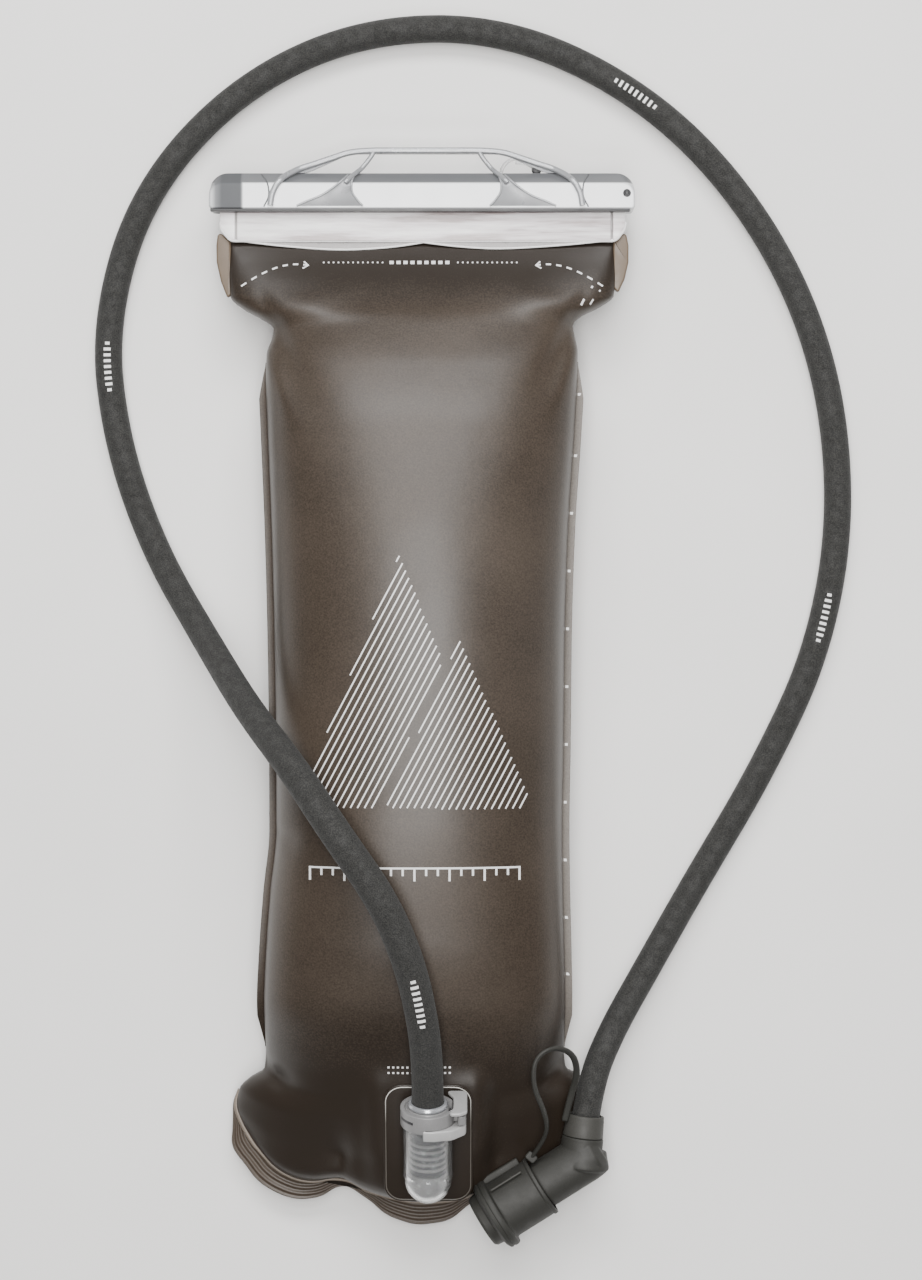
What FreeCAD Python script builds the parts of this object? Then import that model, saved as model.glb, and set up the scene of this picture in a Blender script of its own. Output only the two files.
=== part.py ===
"""Hydration bladder with a slide-bar mouth, a quick-release hose port and a capped bite valve.

Millimetres. The filled bag lies on its back: +Z points out of its front, +Y towards its mouth and
+X to the right. The origin is at table level, under the middle of the bag and its slide bar.
"""

import FreeCAD
import Part
import math
import os

import Sketcher
from FreeCAD import Placement, Rotation, Vector

SIZES = {
    # bag
    "bag_half": 58.0,
    "bag_shift": 2.5,
    "bag_top": 72.0,
    "bag_seam": 32.0,
    "film_edge": 3.0,
    "film_edge_thick": 1.0,
    "film_gap": 0.3,
    "flange_low": 8.0,
    "flange_thick": 1.2,
    # mouth
    "mouth_half": 79.5,
    "mouth_mid": 24.5,
    "web_half": 1.9,
    "web_start": 172.2,
    "rail_start": 174.3,
    "rail_wide": 11.8,
    "rail_thick": 1.6,
    "gusset_wide": 6.2,
    "gusset_long": 20.0,
    "bead_start": 189.4,
    "bead_end": 198.2,
    "bead_half": 5.2,
    # slide bar
    "bar_half": 82.5,
    "bar_start": 186.5,
    "bar_end": 201.0,
    "bar_low": 16.0,
    "bar_high": 33.0,
    "bar_wall": 2.4,
    "bar_bevel": 3.0,
    "bar_slot_half": 2.8,
    "bar_stop": 2.2,
    "rivet_radius": 1.35,
    "rivet_proud": 0.6,
    "rivet_inset": 3.2,
    # handle arch
    "handle_low": 20.5,
    "handle_thick": 7.5,
    "handle_end": 210.35,
    "handle_foot": 61.0,
    "handle_top_half": 28.0,
    "handle_rim": 2.6,
    "loop_radius": 7.0,
    "loop_wire": 0.9,
    "loop_x": 37.5,
    "loop_z": 17.6,
    "knob_radius": 1.6,
    "knob_high": 1.9,
    # hose port
    "port_x": 2.5,
    "port_y": -174.2,
    "port_z": 37.0,
    "port_tilt": 20.0,
    "axis_height": 12.6,
    "patch_gap": 0.3,
    "patch_thick": 1.5,
    "patch_half": 17.2,
    "patch_half_long": 23.5,
    "patch_corner": 7.0,
    "body_radius": 9.5,
    "body_low": 16.5,
    "body_high": 16.9,
    "body_round": 8.0,
    "saddle_half": 7.0,
    "saddle_low": 10.0,
    "socket_radius": 6.1,
    "chamber_radius": 5.2,
    "chamber_low": 12.0,
    "seat_radius": 3.2,
    "seat_thick": 2.0,
    "ring_radius": 10.5,
    "ring_high": 22.7,
    "lug_start": 9.7,
    "lug_end": 14.6,
    "lug_half": 4.6,
    "lug_low": 9.8,
    "lug_high": 17.5,
    "button_start": 10.0,
    "button_half": 4.2,
    "button_low": 18.3,
    "button_high": 22.3,
    "pocket_floor": 7.8,
    "pocket_low": 17.9,
    "button_well": 2.0,
    "well_radius": 1.6,
    "poppet_radius": 4.6,
    "poppet_low": 7.6,
    "poppet_high": 6.0,
    "stem_radius": 1.4,
    "stem_end": 0.3,
    "button_spring_ring": 1.15,
    "button_spring_wire": 0.25,
    "button_spring_pitch": 0.85,
    "button_spring_long": 3.4,
    "poppet_spring_ring": 3.6,
    "poppet_spring_wire": 0.35,
    "poppet_spring_pitch": 1.15,
    "poppet_spring_long": 3.5,
    # hose connector
    "plug_radius": 5.6,
    "plug_low": 0.7,
    "plug_high": 23.4,
    "plug_bore": 2.8,
    "groove_low": 5.0,
    "groove_high": 6.8,
    "groove_radius": 4.7,
    "oring_wire": 0.62,
    "collar_bore": 5.7,
    "collar_radius": 7.1,
    "collar_low": 22.9,
    "collar_high": 24.4,
    "hose_radius": 5.4,
    # bite valve
    "valve_x": 61.4,
    "valve_y": -183.4,
    "valve_z": 24.0,
    "valve_angle": 32.0,
    "leg_angle": 7.0,
    "elbow_leg": 9.7,
    "elbow_radius": 7.6,
    "elbow_corner": 9.2,
    "elbow_bore": 3.6,
    "elbow_reach": 14.0,
    "valve_collar_start": 18.3,
    "mouth_base": 14.2,
    "nozzle_end": 37.0,
    "nozzle_radius": 6.6,
    "nozzle_rim": 8.6,
    "nozzle_bore": 3.0,
    "cap_start": 17.2,
    "cap_end": 45.0,
    "cap_radius": 11.8,
    "cap_wall": 1.4,
    "cap_rim": 14.4,
    "cap_rim_low": 35.8,
    "cap_rim_high": 40.4,
    "cap_nose": 10.4,
    "rib_high": 13.6,
    "rib_half": 1.6,
    "tether_radius": 1.0,
}

# Cross-stations of the filled bag: place along Y, half width, seam height, top, power of the
# front's arch, and bottom. Widths are shares of bag_half, heights shares of bag_top, and the
# bottom is in millimetres.
BAG_STATIONS = [
    (171.8, 1.260, 0.340, 0.366, 2.3, 22.7),
    (160.0, 1.255, 0.345, 0.430, 2.3, 17.0),
    (151.0, 1.240, 0.350, 0.500, 2.3, 11.0),
    (139.0, 0.985, 0.375, 0.640, 2.3, 4.0),
    (125.0, 1.015, 0.400, 0.765, 2.3, -2.0),
    (100.0, 1.020, 0.430, 0.875, 2.3, -4.0),
    (60.0, 1.005, 0.444, 0.960, 2.3, -4.0),
    (0.0, 1.000, 0.444, 1.000, 2.3, -4.0),
    (-50.0, 0.995, 0.444, 0.985, 2.3, -4.0),
    (-95.0, 1.000, 0.420, 0.910, 2.3, -4.0),
    (-120.0, 1.005, 0.360, 0.810, 2.3, -4.0),
    (-140.0, 1.005, 0.250, 0.686, 2.2, -3.0),
    (-160.0, 0.985, 0.150, 0.585, 1.7, -1.0),
    (-185.0, 0.800, 0.140, 0.458, 1.25, 2.0),
    (-192.0, 0.500, 0.140, 0.400, 1.2, 3.0),
    (-199.0, 0.380, 0.140, 0.330, 1.2, 5.0),
    (-203.5, 0.300, 0.140, 0.200, 1.2, 7.0),
]
BACK_POWER = 2.8
SIDE_STEPS = 6

# Route of the hose's centre line, from the connector to the bite valve's collar.
HOSE_ROUTE = [
    (2.5, -156.43, 56.88),
    (2.5, -143.0, 61.76),
    (1.0, -125.0, 69.0),
    (-4.0, -101.0, 77.5),
    (-14.0, -77.0, 83.0),
    (-31.0, -53.0, 83.5),
    (-48.0, -28.0, 75.0),
    (-66.0, -7.0, 53.0),
    (-84.0, 19.0, 22.0),
    (-106.0, 55.0, 6.5),
    (-121.0, 98.0, 5.9),
    (-126.0, 144.0, 5.8),
    (-111.0, 196.0, 5.8),
    (-73.0, 238.0, 5.8),
    (-23.0, 261.0, 5.8),
    (35.0, 261.0, 5.8),
    (91.0, 233.0, 5.8),
    (132.0, 189.0, 5.8),
    (158.0, 135.0, 5.8),
    (166.0, 74.0, 5.8),
    (157.0, 17.0, 5.8),
    (134.0, -32.0, 5.8),
    (107.0, -77.0, 6.6),
    (89.0, -108.0, 11.5),
    (73.5, -134.0, 18.5),
    (65.3, -153.9, 23.2),
    (62.61, -173.55, 24.0),
]

# Route of the strap that keeps the cap, from the valve's collar round to the cap's knob.
TETHER_ROUTE = [
    (55.4, -167.1, 27.6),
    (57.4, -157.5, 31.0),
    (60.2, -148.0, 36.5),
    (58.3, -139.0, 43.0),
    (50.5, -135.5, 49.0),
    (43.0, -140.0, 51.0),
    (42.6, -151.0, 48.5),
    (47.0, -161.0, 43.5),
    (48.6, -169.0, 38.0),
    (45.8, -176.0, 32.5),
    (42.7, -180.6, 29.0),
]

doc = FreeCAD.newDocument("HydrationBladder")
sheet = doc.addObject("Spreadsheet::Sheet", "Sizes")
for row, (alias, size) in enumerate(SIZES.items(), start=1):
    sheet.set(f"A{row}", alias)
    sheet.set(f"B{row}", str(size))
    sheet.setAlias(f"B{row}", alias)
doc.recompute()


def amount(text):
    """The number that a written sum of sizes comes to, such as "bar_end - bar_wall"."""
    total = 0.0
    sign = 1.0
    for word in str(text).split():
        if word in ("+", "-"):
            sign = 1.0 if word == "+" else -1.0
            continue
        value = getattr(sheet, word) if word[0].isalpha() else float(word)
        total += sign * value
        sign = 1.0
    return total


def formula(text):
    """The same sum as an expression that reads the sheet."""
    words = [f"Sizes.{word}" if word[0].isalpha() else word for word in str(text).split()]
    return " ".join(words)


def plane_of(body, role):
    return next(part for part in body.Origin.OriginFeatures if part.Role == role)


def new_body(label):
    body = doc.addObject("PartDesign::Body", label)
    body.Label = label
    return body


def new_sketch(body, role, height="0"):
    """A sketch on one of the body's own planes, raised along the plane's normal."""
    sketch = body.newObject("Sketcher::SketchObject", body.Name + "_sketch")
    sketch.AttachmentSupport = [(plane_of(body, role), "")]
    sketch.MapMode = "FlatFace"
    if height != "0":
        sketch.setExpression("AttachmentOffset.Base.z", formula(height))
    return sketch


def place_point(sketch, line, across, along):
    """Hold a line's first end at a distance from the sketch's origin."""
    for kind, text in (("DistanceX", across), ("DistanceY", along)):
        value = amount(text)
        sketch.addConstraint(Sketcher.Constraint(kind, -1, 1, line, 1, value))
        sketch.setExpression(f"Constraints[{sketch.ConstraintCount - 1}]", formula(text))


def add_outline(sketch, corners):
    """A closed outline of straight lines through corners given as pairs of sums."""
    first = sketch.GeometryCount
    count = len(corners)
    spots = [Vector(amount(across), amount(along), 0) for across, along in corners]
    for number in range(count):
        sketch.addGeometry(Part.LineSegment(spots[number], spots[(number + 1) % count]))
    for number in range(count):
        after = first + (number + 1) % count
        sketch.addConstraint(Sketcher.Constraint("Coincident", first + number, 2, after, 1))
    for number, (across, along) in enumerate(corners):
        place_point(sketch, first + number, across, along)


def box_corners(left, right, low, high):
    return [(left, low), (right, low), (right, high), (left, high)]


def mirrored(corners):
    """The same corners on the other side of the sketch's upright axis."""
    flipped = []
    for across, along in corners:
        words = across.split()
        if words[0] != "-":
            words.insert(0, "+")
        turned = [{"+": "-", "-": "+"}.get(word, word) for word in words]
        flipped.append((" ".join(turned).removeprefix("+ "), along))
    return flipped


def add_circle(sketch, radius):
    """A circle about the sketch's origin."""
    sketch.addGeometry(Part.Circle(Vector(0, 0, 0), Vector(0, 0, 1), amount(radius)))
    number = sketch.GeometryCount - 1
    sketch.addConstraint(Sketcher.Constraint("Coincident", number, 3, -1, 1))
    sketch.addConstraint(Sketcher.Constraint("Radius", number, amount(radius)))
    sketch.setExpression(f"Constraints[{sketch.ConstraintCount - 1}]", formula(radius))


def add_pad(body, sketch, length, both_ways=False):
    pad = body.newObject("PartDesign::Pad", body.Name + "_pad")
    pad.Profile = sketch
    pad.Midplane = both_ways
    pad.setExpression("Length", formula(length))
    body.Tip = pad
    doc.recompute()
    return pad


def add_pocket(body, sketch, length, reverse=False):
    """Cut a sketch's outline out of the body, and make sure that it took something away."""
    before = body.Shape.Volume
    pocket = body.newObject("PartDesign::Pocket", body.Name + "_pocket")
    pocket.Profile = sketch
    pocket.Reversed = reverse
    pocket.setExpression("Length", formula(length))
    body.Tip = pocket
    doc.recompute()
    if pocket.Shape.Volume > before - 0.01:
        raise RuntimeError(f"the pocket in {body.Label} cuts nothing")
    return pocket


def add_fillet(body, radius, wanted):
    """Round the edges of the body's last feature for which wanted(edge) is true."""
    doc.recompute()
    base = body.Tip
    edges = [
        f"Edge{number}"
        for number, edge in enumerate(base.Shape.Edges, start=1)
        if wanted(edge)
    ]
    fillet = body.newObject("PartDesign::Fillet", body.Name + "_fillet")
    fillet.Base = (base, edges)
    fillet.setExpression("Radius", formula(radius))
    body.Tip = fillet
    doc.recompute()
    return fillet


def turned(label, corners, placement):
    """A round piece: an outline of radius and height, turned about the local Z axis."""
    body = new_body(label)
    sketch = new_sketch(body, "XZ_Plane")
    add_outline(sketch, corners)
    turn = body.newObject("PartDesign::Revolution", label + "_turn")
    turn.Profile = sketch
    turn.ReferenceAxis = (sketch, ["V_Axis"])
    turn.Angle = 360.0
    body.Tip = turn
    body.Placement = placement
    doc.recompute()
    return body


def plate(label, corners, thickness, low):
    """A flat plate with an outline in the XY plane, raised to a height."""
    body = new_body(label)
    sketch = new_sketch(body, "XY_Plane", low)
    add_outline(sketch, corners)
    add_pad(body, sketch, thickness)
    return body


def block(label, sizes, corner):
    """A straight block from its three sizes and its lowest corner."""
    box = doc.addObject("Part::Box", label)
    box.Label = label
    for name, text in zip(("Length", "Width", "Height"), sizes):
        box.setExpression(name, formula(text))
    for name, text in zip("xyz", corner):
        box.setExpression(f"Placement.Base.{name}", formula(text))
    return box


def torus(label, ring, wire, placement, sweep=360.0):
    piece = doc.addObject("Part::Torus", label)
    piece.Label = label
    piece.setExpression("Radius1", formula(ring))
    piece.setExpression("Radius2", formula(wire))
    piece.Angle3 = sweep
    piece.Placement = placement
    return piece


def spring(label, placement):
    """A coil spring that stands on its local XY plane, with its sizes under its own name."""
    body = new_body(label)
    sketch = new_sketch(body, "XZ_Plane")
    ring, wire = f"{label}_ring", f"{label}_wire"
    sketch.addGeometry(Part.Circle(Vector(amount(ring), 0, 0), Vector(0, 0, 1), amount(wire)))
    sketch.addConstraint(Sketcher.Constraint("PointOnObject", 0, 3, -1))
    for kind, ends, size in (("DistanceX", (-1, 1, 0, 3), ring), ("Radius", (0,), wire)):
        sketch.addConstraint(Sketcher.Constraint(kind, *ends, amount(size)))
        sketch.setExpression(f"Constraints[{sketch.ConstraintCount - 1}]", formula(size))
    coil = body.newObject("PartDesign::AdditiveHelix", label + "_coil")
    coil.Profile = sketch
    coil.ReferenceAxis = (sketch, ["V_Axis"])
    coil.Mode = 0
    coil.setExpression("Pitch", formula(f"{label}_pitch"))
    coil.setExpression("Height", formula(f"{label}_long"))
    body.Tip = coil
    body.Placement = placement
    doc.recompute()
    return body


def solid_feature(label, shape):
    piece = doc.addObject("Part::Feature", label)
    piece.Label = label
    piece.Shape = shape
    return piece


# ---------------------------------------------------------------- bag

def half_section(y, half, seam, edge, power):
    """One half of the bag's cross-section: a rounded arch closed by a line at the seam."""
    shift = -amount("bag_shift") * min(1.0, max(0.0, (165.0 - y) / 40.0))
    arch = []
    for step in range(-SIDE_STEPS, SIDE_STEPS + 1):
        angle = step / SIDE_STEPS * math.pi / 2
        across = math.copysign(abs(math.sin(angle)) ** (2 / power), step)
        up = math.cos(angle) ** (2 / power) if abs(step) < SIDE_STEPS else 0.0
        arch.append(Vector(shift + half * across, y, seam + (edge - seam) * up))
    curve = Part.BSplineCurve()
    curve.interpolate(arch)
    return Part.Wire([curve.toShape(), Part.makeLine(arch[-1], arch[0])])


def bag_half(front):
    """The front or back film of the filled bag, as thick as the water it holds."""
    wires = []
    for y, half, seam, top, front_power, bottom in BAG_STATIONS:
        seam_height = seam * amount("bag_top")
        edge = top * amount("bag_top") if front else bottom
        power = front_power if front else BACK_POWER
        wires.append(half_section(y, half * amount("bag_half"), seam_height, edge, power))
    return Part.makeLoft(wires, True, True)


def station_value(y, column):
    """A station's value between the listed places along Y."""
    rows = BAG_STATIONS
    for first, second in zip(rows, rows[1:]):
        if first[0] >= y >= second[0]:
            share = (first[0] - y) / (first[0] - second[0])
            return first[column] + share * (second[column] - first[column])
    raise ValueError(y)


table_cut = Part.makeBox(400, 500, 50, Vector(-200, -250, -50))
front_panel = solid_feature("front_panel", bag_half(True))
back_panel = solid_feature("back_panel", bag_half(False).cut(table_cut))


def side_seam(label, side):
    """The welded film edge that stands out along one side of the bag."""
    inner = []
    outer = []
    for y in (122.0, 100.0, 60.0, 0.0, -50.0, -95.0, -120.0, -138.0):
        half = station_value(y, 1) * amount("bag_half") + amount("film_gap")
        inner.append((side * half - amount("bag_shift"), y))
        outer.append((side * (half + amount("film_edge")) - amount("bag_shift"), y))
    corners = [(str(across), str(along)) for across, along in inner + outer[::-1]]
    return plate(label, corners, "film_edge_thick", "bag_seam - 0.5")


side_seam("side_seam_left", -1)
side_seam("side_seam_right", 1)

# The bottom weld: its outer corners on one side, from the bag's edge round the ear, with the
# radius of each corner. It is the same on the other side.
FLANGE_CORNERS = [
    (58.6, -152.5, None),
    (72.0, -154.0, "9"),
    (74.2, -182.0, "11"),
    (55.0, -201.5, "9"),
    (33.5, -193.0, "6"),
    (19.0, -205.5, "5"),
    (9.0, -210.35, "12"),
]


def flange_outline():
    """The weld's outline: round the outside, then back along the edge of the filled bag."""
    shift = amount("bag_shift")
    outer = [(half, along) for half, along, _ in FLANGE_CORNERS]
    inner = []
    for along in (-203.0, -199.0, -192.0, -185.0, -160.0):
        half = station_value(along, 1) * amount("bag_half") + amount("film_gap")
        inner.append((half, along if along > -203 else along - 1.0))
    right = [(half - shift, along) for half, along in outer]
    left = [(-half - shift, along) for half, along in outer[::-1]]
    back = [(-half - shift, along) for half, along in inner[::-1]]
    forth = [(half - shift, along) for half, along in inner]
    return [(str(across), str(along)) for across, along in right + left + back + forth]


def upright_at(half, along):
    """A test for the flange's upright edges at a place given by half width and Y."""
    def test(edge):
        low, high = edge.Vertexes[0], edge.Vertexes[-1]
        across = abs(low.X + amount("bag_shift"))
        near = abs(across - half) < 0.1 and abs(low.Y - along) < 0.1
        return near and abs(low.Z - high.Z) > 0.5
    return test


bottom_flange = plate("bottom_flange", flange_outline(), "flange_thick", "flange_low")
for half, along, corner_radius in FLANGE_CORNERS:
    if corner_radius:
        add_fillet(bottom_flange, corner_radius, upright_at(half, along))

# ---------------------------------------------------------------- mouth

mouth_fold = new_body("mouth_fold")
fold_sketch = new_sketch(mouth_fold, "YZ_Plane")
add_outline(
    fold_sketch,
    [
        ("web_start", "mouth_mid - web_half"),
        ("bead_start", "mouth_mid - web_half"),
        ("bead_start", "mouth_mid - bead_half"),
        ("bead_end", "mouth_mid - bead_half"),
        ("bead_end", "mouth_mid + bead_half"),
        ("bead_start", "mouth_mid + bead_half"),
        ("bead_start", "mouth_mid + web_half"),
        ("web_start", "mouth_mid + web_half"),
    ],
)
add_pad(mouth_fold, fold_sketch, "mouth_half + mouth_half", both_ways=True)

for rail, rail_low in (
    ("mouth_rail_front", "mouth_mid + web_half"),
    ("mouth_rail_back", "mouth_mid - web_half - rail_thick"),
):
    block(
        rail,
        ("mouth_half + mouth_half", "rail_wide", "rail_thick"),
        ("- mouth_half", "rail_start", rail_low),
    )

GUSSET = [
    ("mouth_half", "web_start - 0.4"),
    ("mouth_half", "web_start - 12"),
    ("mouth_half - 4.5", "web_start - gusset_long"),
    ("mouth_half - gusset_wide", "web_start - gusset_long"),
    ("mouth_half - gusset_wide", "web_start - 0.4"),
]
plate("mouth_gusset_right", GUSSET, "web_half + web_half", "mouth_mid - web_half")
plate("mouth_gusset_left", mirrored(GUSSET), "web_half + web_half", "mouth_mid - web_half")

# ---------------------------------------------------------------- slide bar

slide_bar = new_body("slide_bar")
bar_sketch = new_sketch(slide_bar, "YZ_Plane")
add_outline(
    bar_sketch,
    [
        ("bar_start", "bar_low"),
        ("bar_end - bar_bevel", "bar_low"),
        ("bar_end", "bar_low + bar_bevel"),
        ("bar_end", "bar_high - bar_bevel"),
        ("bar_end - bar_bevel", "bar_high"),
        ("bar_start", "bar_high"),
        ("bar_start", "mouth_mid + bar_slot_half"),
        ("bar_start + bar_wall", "mouth_mid + bar_slot_half"),
        ("bar_start + bar_wall", "bar_high - bar_wall"),
        ("bar_end - bar_wall", "bar_high - bar_wall"),
        ("bar_end - bar_wall", "bar_low + bar_wall"),
        ("bar_start + bar_wall", "bar_low + bar_wall"),
        ("bar_start + bar_wall", "mouth_mid - bar_slot_half"),
        ("bar_start", "mouth_mid - bar_slot_half"),
    ],
)
add_pad(slide_bar, bar_sketch, "bar_half + bar_half", both_ways=True)
stop_sketch = new_sketch(slide_bar, "YZ_Plane", "bar_half - bar_stop")
add_outline(stop_sketch, box_corners("bar_start", "bar_end - 1", "bar_low + 1", "bar_high - 1"))
add_pad(slide_bar, stop_sketch, "bar_stop")

bar_handle = new_body("bar_handle")
handle_sketch = new_sketch(bar_handle, "XY_Plane", "handle_low")
add_outline(
    handle_sketch,
    [
        ("- handle_foot", "bar_end"),
        ("handle_foot", "bar_end"),
        ("handle_top_half", "handle_end"),
        ("- handle_top_half", "handle_end"),
    ],
)
CENTRE_WINDOW = [
    ("- 24.5", "bar_end + 0.9"),
    ("24.5", "bar_end + 0.9"),
    ("20", "handle_end - handle_rim"),
    ("- 20", "handle_end - handle_rim"),
]
SIDE_WINDOW = [
    ("28.5", "bar_end + 0.9"),
    ("44", "bar_end + 0.9"),
    ("28.5", "handle_end - handle_rim - 0.3"),
    ("24.5", "handle_end - handle_rim - 0.3"),
]
for window in (CENTRE_WINDOW, SIDE_WINDOW, mirrored(SIDE_WINDOW)):
    add_outline(handle_sketch, window)
add_pad(bar_handle, handle_sketch, "handle_thick")

loop_place = Placement(
    Vector(amount("loop_x"), amount("bar_end + 0.1"), amount("loop_z")),
    Rotation(),
)
torus("leash_loop", "loop_radius", "loop_wire", loop_place, 180.0)


def post(label, radius, height, corner):
    """An upright pin from its radius, its height and the middle of its foot."""
    pin = doc.addObject("Part::Cylinder", label)
    pin.Label = label
    pin.setExpression("Radius", formula(radius))
    pin.setExpression("Height", formula(height))
    for name, text in zip("xyz", corner):
        pin.setExpression(f"Placement.Base.{name}", formula(text))
    return pin


knob_foot = ("loop_x + loop_radius", "bar_end + 2", "loop_z + loop_wire")
post("leash_knob", "knob_radius", "knob_high", knob_foot)
rivet_foot = ("bar_half - rivet_inset", "bar_start + 6", "bar_high")
post("end_rivet", "rivet_radius", "rivet_proud", rivet_foot)

# ---------------------------------------------------------------- hose port
# Local axes: +Z along the connector, out of the socket, +Y down into the bag and +X to the right.

tilt = math.radians(amount("port_tilt"))
port_normal = Vector(0, -math.sin(tilt), math.cos(tilt))
port_foot = Vector(amount("port_x"), amount("port_y"), amount("port_z"))
port_turn = Rotation(Vector(1, 0, 0), amount("port_tilt") - 90)
port_place = Placement(port_foot + port_normal * amount("axis_height"), port_turn)


def along_port(height):
    """The port's placement moved along the connector's axis."""
    return Placement(port_place.multVec(Vector(0, 0, height)), port_turn)


port_patch = new_body("port_patch")
patch_sketch = new_sketch(port_patch, "XZ_Plane", "- axis_height + patch_gap")
patch_corners = box_corners("- patch_half", "patch_half", "- patch_half_long", "patch_half_long")
add_outline(patch_sketch, patch_corners)
add_pad(port_patch, patch_sketch, "patch_thick")
add_fillet(
    port_patch,
    "patch_corner",
    lambda edge: abs(edge.Vertexes[0].Y - edge.Vertexes[-1].Y) > 1,
)
port_patch.Placement = port_place

port_body = turned(
    "port_body",
    [
        ("0", "- body_low"),
        ("body_radius", "- body_low"),
        ("body_radius", "body_high"),
        ("socket_radius", "body_high"),
        ("socket_radius", "0"),
        ("seat_radius", "0"),
        ("seat_radius", "- seat_thick"),
        ("chamber_radius", "- seat_thick"),
        ("chamber_radius", "- chamber_low"),
        ("0", "- chamber_low"),
    ],
    port_place,
)
add_fillet(
    port_body,
    "body_round",
    lambda edge: edge.Closed
    and abs(edge.BoundBox.ZMax + amount("body_low")) < 0.01
    and edge.BoundBox.XLength > 2 * amount("body_radius") - 0.1,
)
saddle_sketch = new_sketch(port_body, "XY_Plane", "- saddle_low")
add_outline(
    saddle_sketch,
    box_corners(
        "- saddle_half",
        "saddle_half",
        "chamber_radius + 1",
        "axis_height - patch_gap - patch_thick",
    ),
)
add_pad(port_body, saddle_sketch, "saddle_low + body_high - 2")

turned(
    "socket_seal",
    [
        ("seat_radius + 0.3", "0"),
        ("socket_radius - 0.3", "0"),
        ("socket_radius - 0.3", "0.5"),
        ("seat_radius + 0.3", "0.5"),
    ],
    port_place,
)

latch_ring = turned(
    "latch_ring",
    [
        ("socket_radius", "body_high"),
        ("ring_radius", "body_high"),
        ("ring_radius", "ring_high"),
        ("socket_radius", "ring_high"),
    ],
    port_place,
)
lug_sketch = new_sketch(latch_ring, "XY_Plane", "lug_low")
add_outline(lug_sketch, box_corners("lug_start", "lug_end", "- lug_half", "lug_half"))
add_pad(latch_ring, lug_sketch, "lug_high - lug_low")
slot_sketch = new_sketch(latch_ring, "YZ_Plane", "pocket_floor")
add_outline(
    slot_sketch,
    box_corners("- lug_half", "lug_half", "pocket_low", "ring_high + 1"),
)
add_pocket(latch_ring, slot_sketch, "lug_end", reverse=True)

release_button = new_body("release_button")
button_sketch = new_sketch(release_button, "YZ_Plane", "button_start")
add_outline(
    button_sketch,
    box_corners("- button_half", "button_half", "button_low", "button_high"),
)
add_pad(release_button, button_sketch, "lug_end - button_start")
button_middle = 0.5 * (amount("button_low") + amount("button_high"))
well_sketch = new_sketch(release_button, "YZ_Plane", "button_start")
add_outline(
    well_sketch,
    box_corners(
        "- well_radius",
        "well_radius",
        f"{button_middle} - well_radius",
        f"{button_middle} + well_radius",
    ),
)
add_pocket(release_button, well_sketch, "button_well", reverse=True)
release_button.Placement = port_place

button_spring_place = Placement(
    port_place.multVec(Vector(amount("pocket_floor") + 0.4, 0, button_middle)),
    port_turn.multiply(Rotation(Vector(0, 1, 0), 90)),
)
spring("button_spring", button_spring_place)

turned(
    "poppet",
    [
        ("0", "- poppet_low"),
        ("poppet_radius", "- poppet_low"),
        ("poppet_radius", "- poppet_high"),
        ("stem_radius", "- poppet_high"),
        ("stem_radius", "stem_end"),
        ("0", "stem_end"),
    ],
    port_place,
)
spring("poppet_spring", along_port(-amount("chamber_low") + 0.4))

# ---------------------------------------------------------------- hose connector

turned(
    "plug_body",
    [
        ("plug_bore", "plug_low"),
        ("plug_radius", "plug_low"),
        ("plug_radius", "groove_low"),
        ("groove_radius", "groove_low"),
        ("groove_radius", "groove_high"),
        ("plug_radius", "groove_high"),
        ("plug_radius", "plug_high"),
        ("plug_bore", "plug_high"),
    ],
    port_place,
)
groove_middle = 0.5 * (amount("groove_low") + amount("groove_high"))
torus("plug_oring", "groove_radius + oring_wire + 0.02", "oring_wire", along_port(groove_middle))
turned(
    "plug_collar",
    [
        ("collar_bore", "collar_low"),
        ("collar_radius", "collar_low"),
        ("collar_radius", "collar_high"),
        ("collar_bore", "collar_high"),
    ],
    port_place,
)


def rounded_tube(label, route, radius, least_radius):
    """A tube along straight runs joined by tangent arcs as large as the runs allow."""
    corners = [Vector(*spot) for spot in route]
    edges = []
    radii = []
    here = corners[0]
    for before, corner, after in zip(corners, corners[1:], corners[2:]):
        run_in = corner - before
        run_out = after - corner
        turn = run_in.getAngle(run_out)
        reach = 0.45 * min(run_in.Length, run_out.Length)
        radii.append(reach / math.tan(turn / 2))
        start = corner - run_in.normalize() * reach
        finish = corner + run_out.normalize() * reach
        to_centre = (finish - corner) + (start - corner)
        centre = corner + to_centre.normalize() * (reach / math.sin(turn / 2))
        middle = centre + (corner - centre).normalize() * radii[-1]
        edges.append(Part.LineSegment(here, start).toShape())
        edges.append(Part.Arc(start, middle, finish).toShape())
        here = finish
    edges.append(Part.LineSegment(here, corners[-1]).toShape())
    path = Part.Wire(edges)
    first = corners[1] - corners[0]
    ring = Part.Wire([Part.makeCircle(radius, corners[0], first)])
    tube = path.makePipeShell([ring], True, False)
    expected = math.pi * radius**2 * path.Length
    print(f"{label}: length {path.Length:.1f}, smallest radius {min(radii):.1f}")
    if abs(tube.Volume / expected - 1) > 0.01 or min(radii) < least_radius:
        raise RuntimeError(f"{label} is pinched or bent too tightly")
    return solid_feature(label, tube)


hose_radius = amount("hose_radius")
rounded_tube("hose", HOSE_ROUTE, hose_radius, 10 * hose_radius)

# ---------------------------------------------------------------- bite valve
# Local axes: +Z along the mouthpiece, away from the elbow, +Y up and +X to its lower right.

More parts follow.
